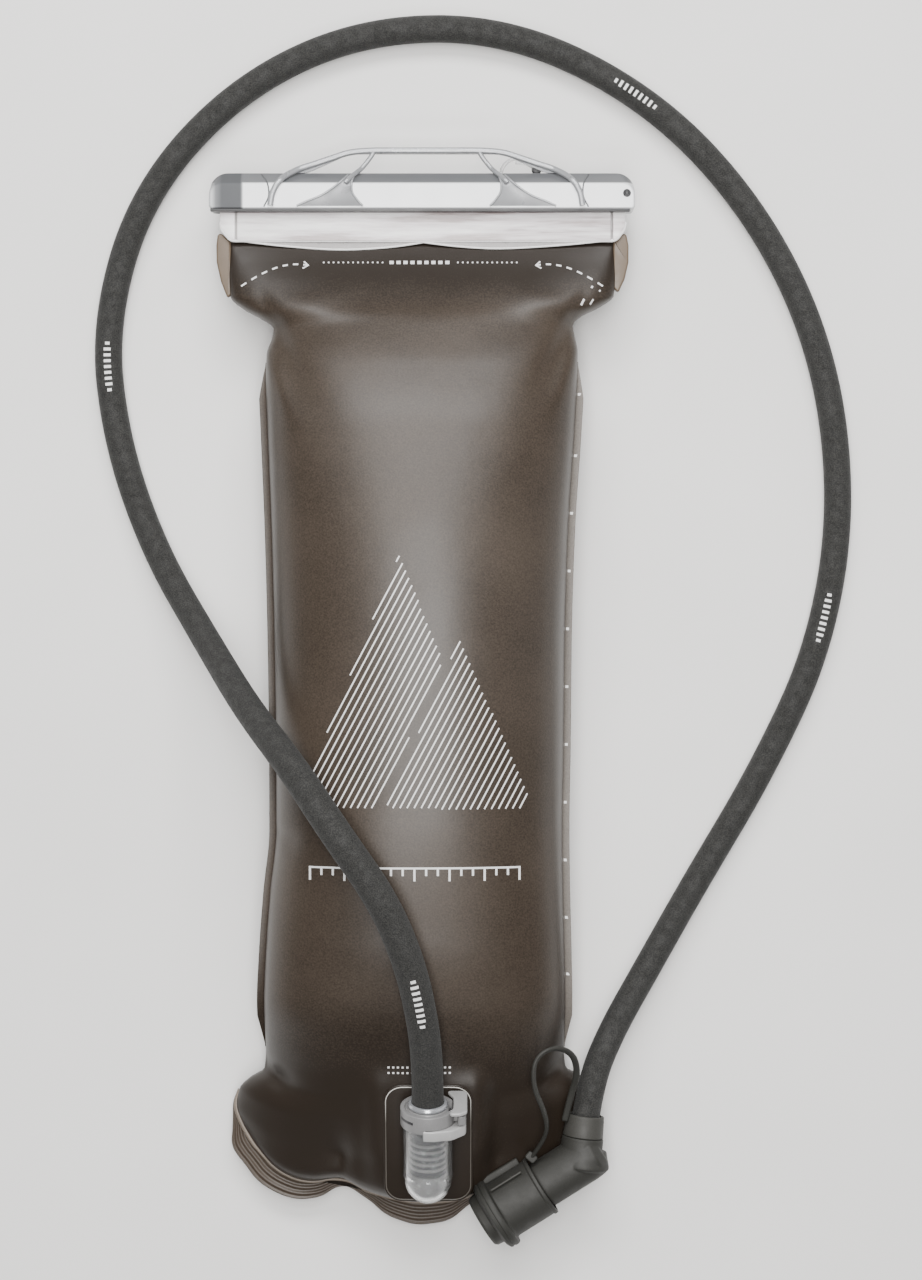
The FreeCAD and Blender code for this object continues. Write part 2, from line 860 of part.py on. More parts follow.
valve_corner = Vector(amount("valve_x"), amount("valve_y"), amount("valve_z"))
valve_turn = Rotation(Vector(0, 0, 1), amount("valve_angle") - 90).multiply(
    Rotation(Vector(1, 0, 0), 90)
)
valve_place = Placement(valve_corner, valve_turn)
leg_turn = Rotation(Vector(0, 0, 1), -amount("leg_angle")).multiply(Rotation(Vector(1, 0, 0), -90))
leg_place = Placement(valve_corner, leg_turn)


def rod(name, radius, height, placement):
    piece = doc.addObject("Part::Cylinder", name)
    piece.setExpression("Radius", formula(radius))
    piece.setExpression("Height", formula(height))
    piece.Placement = placement
    return piece


elbow_ball = doc.addObject("Part::Sphere", "elbow_ball")
elbow_ball.setExpression("Radius", formula("elbow_corner"))
elbow_ball.Placement = valve_place
elbow_outside = doc.addObject("Part::MultiFuse", "elbow_outside")
elbow_outside.Shapes = [
    rod("elbow_hose_leg", "elbow_radius", "elbow_leg", leg_place),
    rod("elbow_mouth_leg", "elbow_radius + 0.4", "elbow_reach", valve_place),
    elbow_ball,
]
elbow_inside = doc.addObject("Part::MultiFuse", "elbow_inside")
elbow_inside.Shapes = [
    rod("elbow_hose_bore", "elbow_bore", "elbow_leg + 1", leg_place),
    rod("elbow_mouth_bore", "elbow_bore", "elbow_reach + 1", valve_place),
]
valve_elbow = doc.addObject("Part::Cut", "valve_elbow")
valve_elbow.Label = "valve_elbow"
valve_elbow.Base = elbow_outside
valve_elbow.Tool = elbow_inside

turned(
    "valve_collar",
    [
        ("collar_bore + 0.3", "elbow_leg + 0.1"),
        ("collar_radius + 0.2", "elbow_leg + 0.1"),
        ("collar_radius + 0.2", "valve_collar_start"),
        ("collar_bore + 0.3", "valve_collar_start"),
    ],
    leg_place,
)

turned(
    "mouthpiece",
    [
        ("nozzle_bore", "mouth_base"),
        ("elbow_corner", "mouth_base"),
        ("elbow_corner", "mouth_base + 2.6"),
        ("nozzle_radius", "mouth_base + 2.6"),
        ("nozzle_radius", "nozzle_end - 6"),
        ("nozzle_rim", "nozzle_end - 3"),
        ("nozzle_rim", "nozzle_end"),
        ("nozzle_bore", "nozzle_end"),
    ],
    valve_place,
)

dust_cap = turned(
    "dust_cap",
    [
        ("0", "cap_end - cap_wall"),
        ("cap_nose - cap_wall", "cap_end - cap_wall"),
        ("cap_radius - cap_wall", "cap_rim_high"),
        ("cap_radius - cap_wall", "cap_start"),
        ("cap_radius", "cap_start"),
        ("cap_radius", "cap_rim_low"),
        ("cap_rim", "cap_rim_low + 1"),
        ("cap_rim", "cap_rim_high"),
        ("cap_nose", "cap_rim_high + 1"),
        ("cap_nose", "cap_end"),
        ("0", "cap_end"),
    ],
    valve_place,
)
rib_sketch = new_sketch(dust_cap, "XZ_Plane", "- rib_half")
add_outline(
    rib_sketch,
    [
        ("- rib_high", "cap_start + 0.6"),
        ("- cap_radius + 0.7", "cap_start + 0.6"),
        ("- cap_radius + 0.7", "cap_rim_low + 0.5"),
        ("- rib_high", "cap_rim_low + 0.5"),
    ],
)
add_pad(dust_cap, rib_sketch, "rib_half + rib_half")

tether_radius = amount("tether_radius")
rounded_tube("cap_tether", TETHER_ROUTE, tether_radius, 2 * tether_radius)

# ---------------------------------------------------------------- checks and files

doc.recompute()
NODES = [
    "front_panel", "back_panel", "side_seam_left", "side_seam_right", "bottom_flange",
    "mouth_fold", "mouth_rail_front", "mouth_rail_back", "mouth_gusset_left",
    "mouth_gusset_right", "slide_bar", "bar_handle", "leash_loop", "leash_knob", "end_rivet",
    "port_patch", "port_body", "socket_seal", "latch_ring", "release_button", "button_spring",
    "poppet", "poppet_spring", "plug_body", "plug_oring", "plug_collar", "hose",
    "valve_collar", "valve_elbow", "mouthpiece", "dust_cap", "cap_tether",
]
for item in doc.Objects:
    if "Invalid" in item.State or "Error" in item.State:
        raise RuntimeError(f"{item.Label} failed: {item.State}")

os.makedirs("parts", exist_ok=True)
for label in NODES:
    shape = doc.getObjectsByLabel(label)[0].Shape
    if shape.isNull() or not shape.isValid() or not shape.Solids:
        raise RuntimeError(f"{label} has no valid solid")
    shape.exportStep(f"parts/{label}.step")
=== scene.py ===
"""Looks of the hydration bladder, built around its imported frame. Lengths here are millimetres
in the frame's own axes (+X right, +Y towards the mouth, +Z out of the front) until mesh_piece
turns them into metres."""
import math

import bmesh
import bpy
import numpy as np
from mathutils import Matrix, Vector
from mathutils.bvhtree import BVHTree


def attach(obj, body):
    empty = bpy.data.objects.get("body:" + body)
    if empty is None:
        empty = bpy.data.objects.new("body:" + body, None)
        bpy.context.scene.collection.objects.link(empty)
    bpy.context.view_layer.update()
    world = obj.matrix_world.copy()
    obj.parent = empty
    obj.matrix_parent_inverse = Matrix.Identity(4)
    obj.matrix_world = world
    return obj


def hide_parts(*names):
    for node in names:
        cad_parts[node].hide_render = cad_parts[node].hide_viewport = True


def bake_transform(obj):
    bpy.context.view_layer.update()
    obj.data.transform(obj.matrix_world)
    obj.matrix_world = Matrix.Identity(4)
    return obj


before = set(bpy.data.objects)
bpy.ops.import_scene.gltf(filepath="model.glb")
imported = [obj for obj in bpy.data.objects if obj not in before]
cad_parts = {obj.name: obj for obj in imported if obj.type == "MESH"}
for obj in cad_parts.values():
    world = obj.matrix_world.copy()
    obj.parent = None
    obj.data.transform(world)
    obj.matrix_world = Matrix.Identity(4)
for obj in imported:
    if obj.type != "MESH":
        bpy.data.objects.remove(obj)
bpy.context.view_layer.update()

MM = 0.001


# ------------------------------------------------------------------ camera, floor and light

CAMERA_HEIGHT = 1300.0
VIEW_LENGTH = 1280 / 2.52     # how much of the floor the picture's height spans
SENSOR = 36.0
AIM = (15.1, 19.6)


def make_camera():
    """A camera straight above the object, looking down."""
    data = bpy.data.cameras.new("camera")
    data.sensor_fit = "VERTICAL"
    data.sensor_height = SENSOR
    data.lens = SENSOR * CAMERA_HEIGHT / VIEW_LENGTH
    camera = bpy.data.objects.new("camera", data)
    camera.location = (AIM[0] * MM, AIM[1] * MM, CAMERA_HEIGHT * MM)
    bpy.context.collection.objects.link(camera)
    bpy.context.scene.camera = camera


WHITE, WARM = (1.0, 1.0, 1.0), (1.0, 0.985, 0.965)
SOFT_BOXES = [
    # name, place and aim in metres, size, watts, colour
    ("strip", (-0.02, 0.02, 1.75), (-0.02, 0.0, 0.05), (0.58, 0.80), 29.0, WARM),
    ("key", (-0.75, 0.55, 0.75), (-0.02, 0.1, 0.03), (0.35, 0.9), 0.9, WHITE),
    ("top", (0.0, 0.99, 1.10), (0.0, 0.11, 0.05), (1.15, 0.44), 24.0, WHITE),
    ("crown", (0.0, 0.62, 1.55), (0.0, 0.06, 0.05), (0.7, 0.26), 7.0, WHITE),
    ("foot", (0.05, -0.62, 1.45), (0.0, -0.1, 0.05), (0.5, 0.3), 6.0, WHITE),
    ("side", (0.95, 0.1, 0.5), (0.0, 0.05, 0.03), (0.3, 0.9), 0.9, WHITE),
]


def make_light(name, place, aim, size, watts, colour):
    data = bpy.data.lights.new(name, "AREA")
    data.shape = "RECTANGLE"
    data.size, data.size_y = size
    data.energy = watts
    data.color = colour
    lamp = bpy.data.objects.new(name, data)
    lamp.location = place
    lamp.rotation_euler = (Vector(aim) - Vector(place)).to_track_quat("-Z", "Y").to_euler()
    bpy.context.collection.objects.link(lamp)


def make_studio():
    """A pale floor, a dim even sky and large soft boxes."""
    bpy.ops.mesh.primitive_plane_add(size=6, location=(0, 0, -0.0003))
    floor = bpy.context.object
    floor.name = "studio_floor"
    material, tree, shader = new_material("studio_floor", (0.80, 0.79, 0.775), 0.85)
    grain = add_noise(tree, 9.0, 3)
    blend_colour(tree, shader, grain, (0.785, 0.775, 0.76), (0.815, 0.805, 0.79))
    floor.data.materials.append(material)
    world = bpy.data.worlds.new("studio")
    world.use_nodes = True
    sky = world.node_tree.nodes["Background"]
    sky.inputs["Color"].default_value = (0.93, 0.96, 1.0, 1)
    sky.inputs["Strength"].default_value = 0.14
    bpy.context.scene.world = world
    for name, place, aim, size, watts, colour in SOFT_BOXES:
        make_light(name, place, aim, size, watts, colour)


# ------------------------------------------------------------------ materials

def new_material(name, colour, rough, **settings):
    material = bpy.data.materials.new(name)
    material.use_nodes = True
    tree = material.node_tree
    shader = tree.nodes["Principled BSDF"]
    shader.inputs["Base Color"].default_value = (*colour, 1)
    shader.inputs["Roughness"].default_value = rough
    for socket, value in settings.items():
        shader.inputs[socket.replace("_", " ")].default_value = value
    return material, tree, shader


def add_noise(tree, scale, detail, stretch=(1, 1, 1), roughness=0.5):
    """Noise in the frame's own metres, so that its grain has a real size."""
    place = tree.nodes.new("ShaderNodeTexCoord")
    mapping = tree.nodes.new("ShaderNodeMapping")
    mapping.inputs["Scale"].default_value = stretch
    noise = tree.nodes.new("ShaderNodeTexNoise")
    noise.inputs["Scale"].default_value = scale
    noise.inputs["Detail"].default_value = detail
    noise.inputs["Roughness"].default_value = roughness
    tree.links.new(place.outputs["Object"], mapping.inputs["Vector"])
    tree.links.new(mapping.outputs["Vector"], noise.inputs["Vector"])
    return noise.outputs["Fac"]


def spread(tree, value, low, high, to_low=0.0, to_high=1.0):
    """Stretch the part of a value between low and high."""
    node = tree.nodes.new("ShaderNodeMapRange")
    for name, number in zip(("From Min", "From Max", "To Min", "To Max"), (low, high, to_low, to_high)):
        node.inputs[name].default_value = number
    tree.links.new(value, node.inputs["Value"])
    return node.outputs["Result"]


def combine(tree, operation, first, second):
    node = tree.nodes.new("ShaderNodeMath")
    node.operation = operation
    tree.links.new(first, node.inputs[0])
    tree.links.new(second, node.inputs[1])
    return node.outputs["Value"]


def frame_axes(tree):
    """A place's X, Y and Z in the frame's own metres."""
    place = tree.nodes.new("ShaderNodeTexCoord")
    axes = tree.nodes.new("ShaderNodeSeparateXYZ")
    tree.links.new(place.outputs["Object"], axes.inputs["Vector"])
    return axes.outputs


def blend_colour(tree, shader, value, dark, light, low=0.35, high=0.65):
    ramp = tree.nodes.new("ShaderNodeValToRGB")
    ramp.color_ramp.elements[0].color = (*dark, 1)
    ramp.color_ramp.elements[0].position = low
    ramp.color_ramp.elements[1].color = (*light, 1)
    ramp.color_ramp.elements[1].position = high
    tree.links.new(value, ramp.inputs["Fac"])
    tree.links.new(ramp.outputs["Color"], shader.inputs["Base Color"])
    return ramp


def add_bump(tree, shader, value, distance, strength=1.0):
    bump = tree.nodes.new("ShaderNodeBump")
    bump.inputs["Distance"].default_value = distance
    bump.inputs["Strength"].default_value = strength
    tree.links.new(value, bump.inputs["Height"])
    previous = shader.inputs["Normal"].links
    if previous:
        tree.links.new(previous[0].from_socket, bump.inputs["Normal"])
    tree.links.new(bump.outputs["Normal"], shader.inputs["Normal"])


def rough_range(tree, shader, value, low, high):
    tree.links.new(spread(tree, value, 0.35, 0.65, low, high), shader.inputs["Roughness"])


# Bands of paint, each from one place to another in the frame's metres: painted shade, which at the film's
# mouth also stands for its doubled film, and one painted highlight on the patch's weld line.
FILM_MOUTH_SHADE_BAND, FILM_FOOT_SHADE_BAND = (0.146, 0.172), (-0.115, -0.155)
BAR_SLOPE_SHADE_BAND, BAR_END_SHADE_BAND, BAR_TIP_SHADE_BAND = (0.1963, 0.1969), (-0.0690, -0.0704), (-0.0825, -0.0775)
HANDLE_FOOT_SHADE_BAND, WELD_LIGHT_BAND = (0.198, 0.1885), (-0.166, -0.154)


def film_material(name, dark, light, rough=(0.40, 0.50), shaded=False):
    """Satin smoke-coloured film: a fine mottle, a faint cloudiness and a skin of fine grain.

    The bag's own film is painted darker at the mouth, partly because it lies doubled there and partly as
    painted shade, and painted shade darkens it round the bottom.
    """
    material, tree, shader = new_material(name, light, 0.45, IOR=1.43)
    cloud = add_noise(tree, 22.0, 3)
    grain = add_noise(tree, 1500.0, 2)
    value = combine(tree, "ADD", spread(tree, cloud, 0.3, 0.7, 0.15, 0.45),
                    spread(tree, grain, 0.3, 0.7, 0.0, 0.45))
    if shaded:
        height = frame_axes(tree)["Y"]
        # painted shade: darker at the mouth, where the film also lies doubled, and round the bottom
        for band, depth in ((FILM_MOUTH_SHADE_BAND, 0.9), (FILM_FOOT_SHADE_BAND, 0.6)):
            value = combine(tree, "SUBTRACT", value, spread(tree, height, *band, 0.0, depth))
    blend_colour(tree, shader, value, dark, light, 0.1, 0.9)
    rough_range(tree, shader, cloud, *rough)
    add_bump(tree, shader, grain, 0.00003, 0.8)
    add_bump(tree, shader, add_noise(tree, 70.0, 2), 0.00025, 0.5)
    return material


def plastic_material(name, colour, rough, metallic=0.0, grain=2600.0, depth=0.00001):
    """Moulded plastic with a slightly uneven gloss and a fine texture."""
    dark = tuple(0.93 * part for part in colour)
    light = tuple(min(1.0, 1.05 * part) for part in colour)
    material, tree, shader = new_material(name, colour, rough, Metallic=metallic)
    fine = add_noise(tree, grain, 2)
    blend_colour(tree, shader, fine, dark, light)
    rough_range(tree, shader, add_noise(tree, 120.0, 3), rough - 0.04, rough + 0.05)
    add_bump(tree, shader, fine, depth, 0.7)
    return material


def hose_material():
    """Closed-cell foam sleeve: dark olive grey with a fine pale speckle and a pitted skin."""
    material, tree, shader = new_material("hose_sleeve", (0.07, 0.07, 0.062), 0.85)
    speckle = add_noise(tree, 2300.0, 2, roughness=0.7)
    blend_colour(tree, shader, speckle, (0.003, 0.003, 0.0028), (0.031, 0.030, 0.027), 0.38, 0.66)
    rough_range(tree, shader, add_noise(tree, 300.0, 2), 0.72, 0.9)
    shader.inputs["Sheen Weight"].default_value = 0.04
    shader.inputs["Sheen Roughness"].default_value = 0.5
    add_bump(tree, shader, speckle, 0.00022, 0.9)
    add_bump(tree, shader, add_noise(tree, 160.0, 2), 0.0004, 0.5)
    return material


def rubber_material(name, colour):
    dark = tuple(0.82 * part for part in colour)
    light = tuple(1.15 * part for part in colour)
    material, tree, shader = new_material(name, colour, 0.5, IOR=1.40)
    fine = add_noise(tree, 3200.0, 3)
    blend_colour(tree, shader, fine, dark, light)
    rough_range(tree, shader, add_noise(tree, 180.0, 3), 0.52, 0.64)
    add_bump(tree, shader, fine, 0.00003, 0.8)
    return material


def pearl_material():
    """Frosted stiffener: milky, with long faint warm and lilac streaks along its length that are painted
    reflections.
    """
    material, tree, shader = new_material("frosted_rail", (0.8, 0.79, 0.79), 0.3)
    shader.inputs["Transmission Weight"].default_value = 0.12
    shader.inputs["Coat Weight"].default_value = 0.4
    shader.inputs["Coat Roughness"].default_value = 0.2
    # painted reflections: warm and lilac streaks along the rail
    reflection_streaks = add_noise(tree, 110.0, 4, (0.14, 1.6, 1.0), 0.6)
    ramp = blend_colour(tree, shader, reflection_streaks, (0.34, 0.275, 0.27), (0.95, 0.935, 0.92), 0.40, 0.60)
    middle = ramp.color_ramp.elements.new(0.48)
    middle.color = (0.66, 0.605, 0.615, 1)
    rough_range(tree, shader, reflection_streaks, 0.26, 0.4)
    add_bump(tree, shader, add_noise(tree, 900.0, 2), 0.00004, 0.6)
    return material


def clear_material(name, colour, rough, transmission, ripple=0.5):
    material, tree, shader = new_material(name, colour, rough, IOR=1.46)
    shader.inputs["Transmission Weight"].default_value = transmission
    haze = add_noise(tree, 260.0, 3)
    rough_range(tree, shader, haze, rough - 0.05, rough + 0.08)
    blend_colour(tree, shader, haze, tuple(0.92 * part for part in colour), colour)
    if ripple:
        add_bump(tree, shader, add_noise(tree, 700.0, 2), 0.00003, ripple)
    return material


def bar_material():
    """Painted silver with painted shade: the sloped upper face is darker, and one end shades off to grey."""
    material, tree, shader = new_material("bar_painted", (0.5, 0.5, 0.52), 0.28, Metallic=0.15)
    axes = frame_axes(tree)
    # painted shade on the sloped upper face and at the left end
    slope = spread(tree, axes["Y"], *BAR_SLOPE_SHADE_BAND, 0.0, 0.6)
    end = combine(tree, "MULTIPLY", spread(tree, axes["X"], *BAR_END_SHADE_BAND),
                  spread(tree, axes["X"], *BAR_TIP_SHADE_BAND, 0.15, 1.0))
    ramp = blend_colour(tree, shader, combine(tree, "MAXIMUM", slope, end),
                        (0.74, 0.75, 0.76), (0.075, 0.078, 0.083), 0.0, 1.0)
    ramp.color_ramp.elements.new(0.6).color = (0.135, 0.139, 0.146, 1)
    gloss = spread(tree, add_noise(tree, 120.0, 3), 0.35, 0.65, 0.30, 0.34)
    gloss = combine(tree, "ADD", gloss, spread(tree, end, 0.0, 1.0, 0.0, 0.33))
    tree.links.new(gloss, shader.inputs["Roughness"])
    add_bump(tree, shader, add_noise(tree, 2600.0, 2), 0.00001, 0.4)
    return material


def flare_material():
    """The handle's legs: bright where they are narrow and darker where they spread out, as painted shade
    towards their feet.
    """
    material, tree, shader = new_material("bar_flare", (0.3, 0.3, 0.32), 0.3, Metallic=0.2)
    # painted shade: darker towards the legs' feet on the bar
    foot = spread(tree, frame_axes(tree)["Y"], *HANDLE_FOOT_SHADE_BAND)
    blend_colour(tree, shader, foot, (0.30, 0.305, 0.315), (0.085, 0.088, 0.094), 0.0, 1.0)
    rough_range(tree, shader, add_noise(tree, 120.0, 3), 0.26, 0.36)
    add_bump(tree, shader, add_noise(tree, 2600.0, 2), 0.00001, 0.7)
    return material


def weld_line_material():
    """The patch's weld line: it catches the light along its upper edge and is dull elsewhere."""
    material, tree, shader = new_material("weld_line", (0.3, 0.28, 0.26), 0.35)
    upper = spread(tree, frame_axes(tree)["Y"], *WELD_LIGHT_BAND)
    blend_colour(tree, shader, upper, (0.10, 0.09, 0.078), (0.62, 0.60, 0.56), 0.0, 1.0)
    rough_range(tree, shader, add_noise(tree, 300.0, 2), 0.3, 0.4)
    add_bump(tree, shader, add_noise(tree, 2600.0, 2), 0.00001, 0.5)
    return material


def make_materials():
    return {
        "film": film_material("bag_film", (0.017, 0.0118, 0.008), (0.058, 0.0435, 0.032),
                              (0.37, 0.43), shaded=True),
        "weld": film_material("weld_film", (0.036, 0.026, 0.018), (0.068, 0.051, 0.038)),
        "seam": film_material("seam_film", (0.10, 0.088, 0.076), (0.17, 0.152, 0.135)),
        "tan": film_material("weld_lip", (0.13, 0.105, 0.083), (0.20, 0.165, 0.132)),
        "beige": clear_material("gusset_film", (0.132, 0.095, 0.063), 0.4, 0.1),
        "pearl": pearl_material(),
        "lip": clear_material("lip_film", (0.34, 0.32, 0.315), 0.3, 0.15),
        # white: painted highlight lines on the mouth's edge and lip rims
        "white": clear_material("edge_film_highlight", (0.86, 0.85, 0.84), 0.25, 0.1),
        "silver": plastic_material("bar_silver", (0.30, 0.305, 0.315), 0.28, 0.3),
        "bar": bar_material(),
        "shade": plastic_material("bar_shade", (0.17, 0.175, 0.185), 0.3, 0.2),
        "flare": flare_material(),
        "groove": plastic_material("bar_groove", (0.10, 0.105, 0.11), 0.35, 0.3),
        "grey": plastic_material("latch_grey", (0.20, 0.197, 0.197), 0.38, 0.05),
        "latch_light": plastic_material("latch_light", (0.36, 0.357, 0.354), 0.34, 0.05),
        "bright_line": weld_line_material(),
        # pale rubber for the hose collar, also used for a painted highlight line on the dust cap
        "pale_rubber_and_highlight": rubber_material("collar_rubber", (0.038, 0.037, 0.033)),
        "ferrule": plastic_material("ferrule", (0.42, 0.43, 0.45), 0.26, 0.6),
        "dark": plastic_material("dark_plastic", (0.03, 0.03, 0.032), 0.4),
        "port": clear_material("port_clear", (0.92, 0.93, 0.94), 0.06, 0.96, 0.0),
        "milky": clear_material("port_milky", (0.46, 0.45, 0.44), 0.2, 0.15, 0.1),
        "inner": clear_material("port_core", (0.19, 0.19, 0.19), 0.22, 0.1, 0.1),
        "clear": clear_material("loop_clear", (0.8, 0.8, 0.8), 0.15, 0.7),
        "hose": hose_material(),
        "rubber": rubber_material("valve_rubber", (0.024, 0.0235, 0.0205)),
        "seal": rubber_material("seal_rubber", (0.02, 0.02, 0.02)),
        "silicone": clear_material("bite_silicone", (0.72, 0.72, 0.69), 0.35, 0.35),
        "steel": plastic_material("spring_steel", (0.62, 0.62, 0.63), 0.22, 1.0),
        "ink": plastic_material("white_ink", (0.74, 0.735, 0.725), 0.5),
    }


# ------------------------------------------------------------------ mesh helpers

def mesh_piece(name, points, faces, material, smooth=True):
    """An object from points in millimetres, with its normals made consistent."""
    mesh = bpy.data.meshes.new(name)
    mesh.from_pydata([tuple(MM * part for part in point) for point in points], [], faces)
    mesh.materials.append(materials[material])
    work = bmesh.new()
    work.from_mesh(mesh)
    bmesh.ops.remove_doubles(work, verts=work.verts, dist=1e-7)
    bmesh.ops.recalc_face_normals(work, faces=work.faces)
    for face in work.faces:
        face.smooth = smooth
    work.to_mesh(mesh)
    work.free()
    piece = bpy.data.objects.new(name, mesh)
    bpy.context.collection.objects.link(piece)
    return piece


def finish_piece(piece, body, slot, *nodes, sharp=None):
    """Ride on a body and stand for CAD nodes, whose parts are hidden. The slot is not used."""
    if sharp is not None:
        piece.data.shade_smooth()
        piece.data.set_sharp_from_angle(angle=math.radians(sharp))
    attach(piece, body)
    if nodes:
        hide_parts(*nodes)
    return piece


def rounded_outline(corners, radii, steps=7, closed=True):
    """An outline whose corners are rounded with arcs. A radius of 0 leaves a corner sharp."""
    result = []
    count = len(corners)
    for number, corner in enumerate(corners):
        radius = radii[number] if isinstance(radii, (list, tuple)) else radii
        here = np.array(corner, float)
        ends = not closed and number in (0, count - 1)
        if radius <= 0 or ends:
            result.append(tuple(here))
            continue
        before = np.array(corners[number - 1], float) - here
        after = np.array(corners[(number + 1) % count], float) - here
        reach_before, reach_after = np.linalg.norm(before), np.linalg.norm(after)
        before, after = before / reach_before, after / reach_after
        half = 0.5 * math.acos(float(np.clip(before @ after, -1, 1)))
        if abs(half - math.pi / 2) < 1e-3:
            result.append(tuple(here))
            continue
        reach = min(radius / math.tan(half), 0.49 * reach_before, 0.49 * reach_after)
        radius = reach * math.tan(half)
        centre = here + (before + after) / np.linalg.norm(before + after) * radius / math.sin(half)
        start, end = here + before * reach - centre, here + after * reach - centre
        sweep = math.pi - 2 * half
        for step in range(steps + 1):
            share = step / steps
            weights = math.sin((1 - share) * sweep), math.sin(share * sweep)
            result.append(tuple(centre + (start * weights[0] + end * weights[1]) / math.sin(sweep)))
    return result


def box(left, low, right, high):
    """The four corners of a rectangle, anticlockwise from the lower left."""
    return [(left, low), (right, low), (right, high), (left, high)]


def distances(line):
    """How far each point of a line is along it."""
    return np.r_[0, np.cumsum(np.linalg.norm(np.diff(line, axis=0), axis=1))]


def even_line(points, count):
    """Evenly spaced points on the straight lines between the given ones."""
    line = np.array(points, float)
    along = distances(line)
    wanted = np.linspace(0, along[-1], count)
    return np.column_stack([np.interp(wanted, along, column) for column in line.T])


def smooth_line(points, count):
    """Evenly spaced points on a smooth curve through the given ones."""
    knots = np.array(points, float)
    ghost = np.vstack([2 * knots[0] - knots[1], knots, 2 * knots[-1] - knots[-2]])
    dense = []
    for a, b, c, d in zip(ghost, ghost[1:], ghost[2:], ghost[3:]):
        for share in np.linspace(0, 1, 24, endpoint=False):
            dense.append(
                0.5 * (2 * b + (c - a) * share + (2 * a - 5 * b + 4 * c - d) * share**2
                       + (3 * b - a - 3 * c + d) * share**3)
            )
    dense.append(knots[-1])
    return even_line(dense, count)


def ring_faces(count, size, first=0, caps=True, loop=False):
    """The faces of a skin over rings of equally many points, numbered from first."""
    faces = []
    for row in range(count if loop else count - 1):
        low, high = first + row * size, first + ((row + 1) % count) * size
        for number in range(size):
            after = (number + 1) % size
            faces.append((low + number, low + after, high + after, high + number))
    if caps and not loop:
        faces.append(tuple(range(first, first + size))[::-1])
        faces.append(tuple(range(first + (count - 1) * size, first + count * size)))
    return faces


def rings_mesh(name, rings, material, caps=True, loop=False):
    """A skin over rings of equally many points, each ring a list of points in millimetres."""
    points = [tuple(point) for ring in rings for point in ring]
    return mesh_piece(name, points, ring_faces(len(rings), len(rings[0]), 0, caps, loop), material)


def axis_matrix(origin, along, up):
    """Local +Z along one direction and +Y along another."""
    along, up = Vector(along).normalized(), Vector(up).normalized()
    side = up.cross(along)
    place = Matrix.Identity(4)
    for column, axis in enumerate((side, up, along)):
        for row in range(3):
            place[row][column] = axis[row]
    return Matrix.Translation(origin) @ place


def placed(points, matrix):
    return [tuple(matrix @ Vector(point)) for point in points]


def lathe(name, profile, matrix, material, segments=96, rounding=0.35):
    """A turned piece from its radius and height outline, with small rounded edges."""
    radii = [0.0 if point[0] < 1e-6 else rounding for point in profile]
    outline = rounded_outline(profile, radii, 4)
    on_axis = profile[0][0] < 1e-6 or profile[-1][0] < 1e-6
    rings = []
    for radius, height in outline:
        angles = [math.tau * step / segments for step in range(segments)]
        ring = [(radius * math.cos(angle), radius * math.sin(angle), height) for angle in angles]
        rings.append(placed(ring, matrix))
    return rings_mesh(name, rings, material, caps=False, loop=not on_axis)


def outward(outline):
    """Unit normals of a closed outline that runs anticlockwise."""
    line = np.array(outline, float)
    ahead = np.roll(line, -1, axis=0) - np.roll(line, 1, axis=0)
    normals = np.column_stack([ahead[:, 1], -ahead[:, 0]])
    return normals / np.maximum(np.linalg.norm(normals, axis=1, keepdims=True), 1e-9)


def slab(name, outline, low, high, edge, material, matrix=Matrix.Identity(4)):
    """A plate with rounded edges: the outline, drawn in at the two faces by the edge radius."""
    line = np.array(outline, float)
    area = np.sum(line[:, 0] * np.roll(line[:, 1], -1) - np.roll(line[:, 0], -1) * line[:, 1])
    if area < 0:
        line = line[::-1]
    normals = outward(line)
    steps = [(math.sin(angle), math.cos(angle)) for angle in np.linspace(0, math.pi / 2, 5)]
    levels = [(low + edge * (1 - rise), edge * (1 - reach)) for reach, rise in steps]
    levels += [(high - edge * (1 - rise), edge * (1 - reach)) for reach, rise in steps[::-1]]
    rings = []
    for height, draw in levels:
        ring = line - normals * draw
        rings.append(placed([(x, y, height) for x, y in ring], matrix))
    return rings_mesh(name, rings, material)


def frames_along(path):
    """Tangents and two steady side directions along a path of points."""
    line = np.array(path, float)
    tangents = np.gradient(line, axis=0)
    tangents /= np.linalg.norm(tangents, axis=1, keepdims=True)
    side = np.cross(tangents[0], (0, 0, 1))
    sides = []
    for tangent in tangents:
        side = side - tangent * (side @ tangent)
        side = side / np.linalg.norm(side)
        sides.append(side)
    sides = np.array(sides)
    return line, tangents, sides, np.cross(sides, tangents)


def sweep(name, path, section, material, scales=None, caps=True):
    """A section, in side and up millimetres, carried along a path."""
    line, _, sides, ups = frames_along(path)
    rings = []
    for number, centre in enumerate(line):
        scale = 1.0 if scales is None else scales[number]
        rings.append(
            [centre + (across * sides[number] + up * ups[number]) * scale for across, up in section]
        )
    return rings_mesh(name, rings, material, caps=caps)


def circle_section(radius, count=32):
    return [
        (radius * math.cos(math.tau * step / count), radius * math.sin(math.tau * step / count))
        for step in range(count)
    ]


def rounded_box_section(width, height, radius):
    return rounded_outline(box(-width / 2, -height / 2, width / 2, height / 2), radius, 4)


def apply_modifiers(piece):
    bpy.context.view_layer.update()
    graph = bpy.context.evaluated_depsgraph_get()
    mesh = bpy.data.meshes.new_from_object(piece.evaluated_get(graph))
    piece.modifiers.clear()
    piece.data = mesh


def combine_solids(piece, operation, others):
    """Join simple solids to a piece or cut them out of it, then drop them."""
    for other in others:
        step = piece.modifiers.new("step", "BOOLEAN")
        step.operation, step.solver, step.object = operation, "EXACT", other
    apply_modifiers(piece)
    for other in others:
        bpy.data.objects.remove(other)


def even_shading(piece, sharp):
    """Flat faces shade flat and rounded edges stay smooth after a cut."""
    piece.data.shade_smooth()
    piece.data.set_sharp_from_angle(angle=math.radians(sharp))
    piece.modifiers.new("weigh", "WEIGHTED_NORMAL").keep_sharp = True
    apply_modifiers(piece)


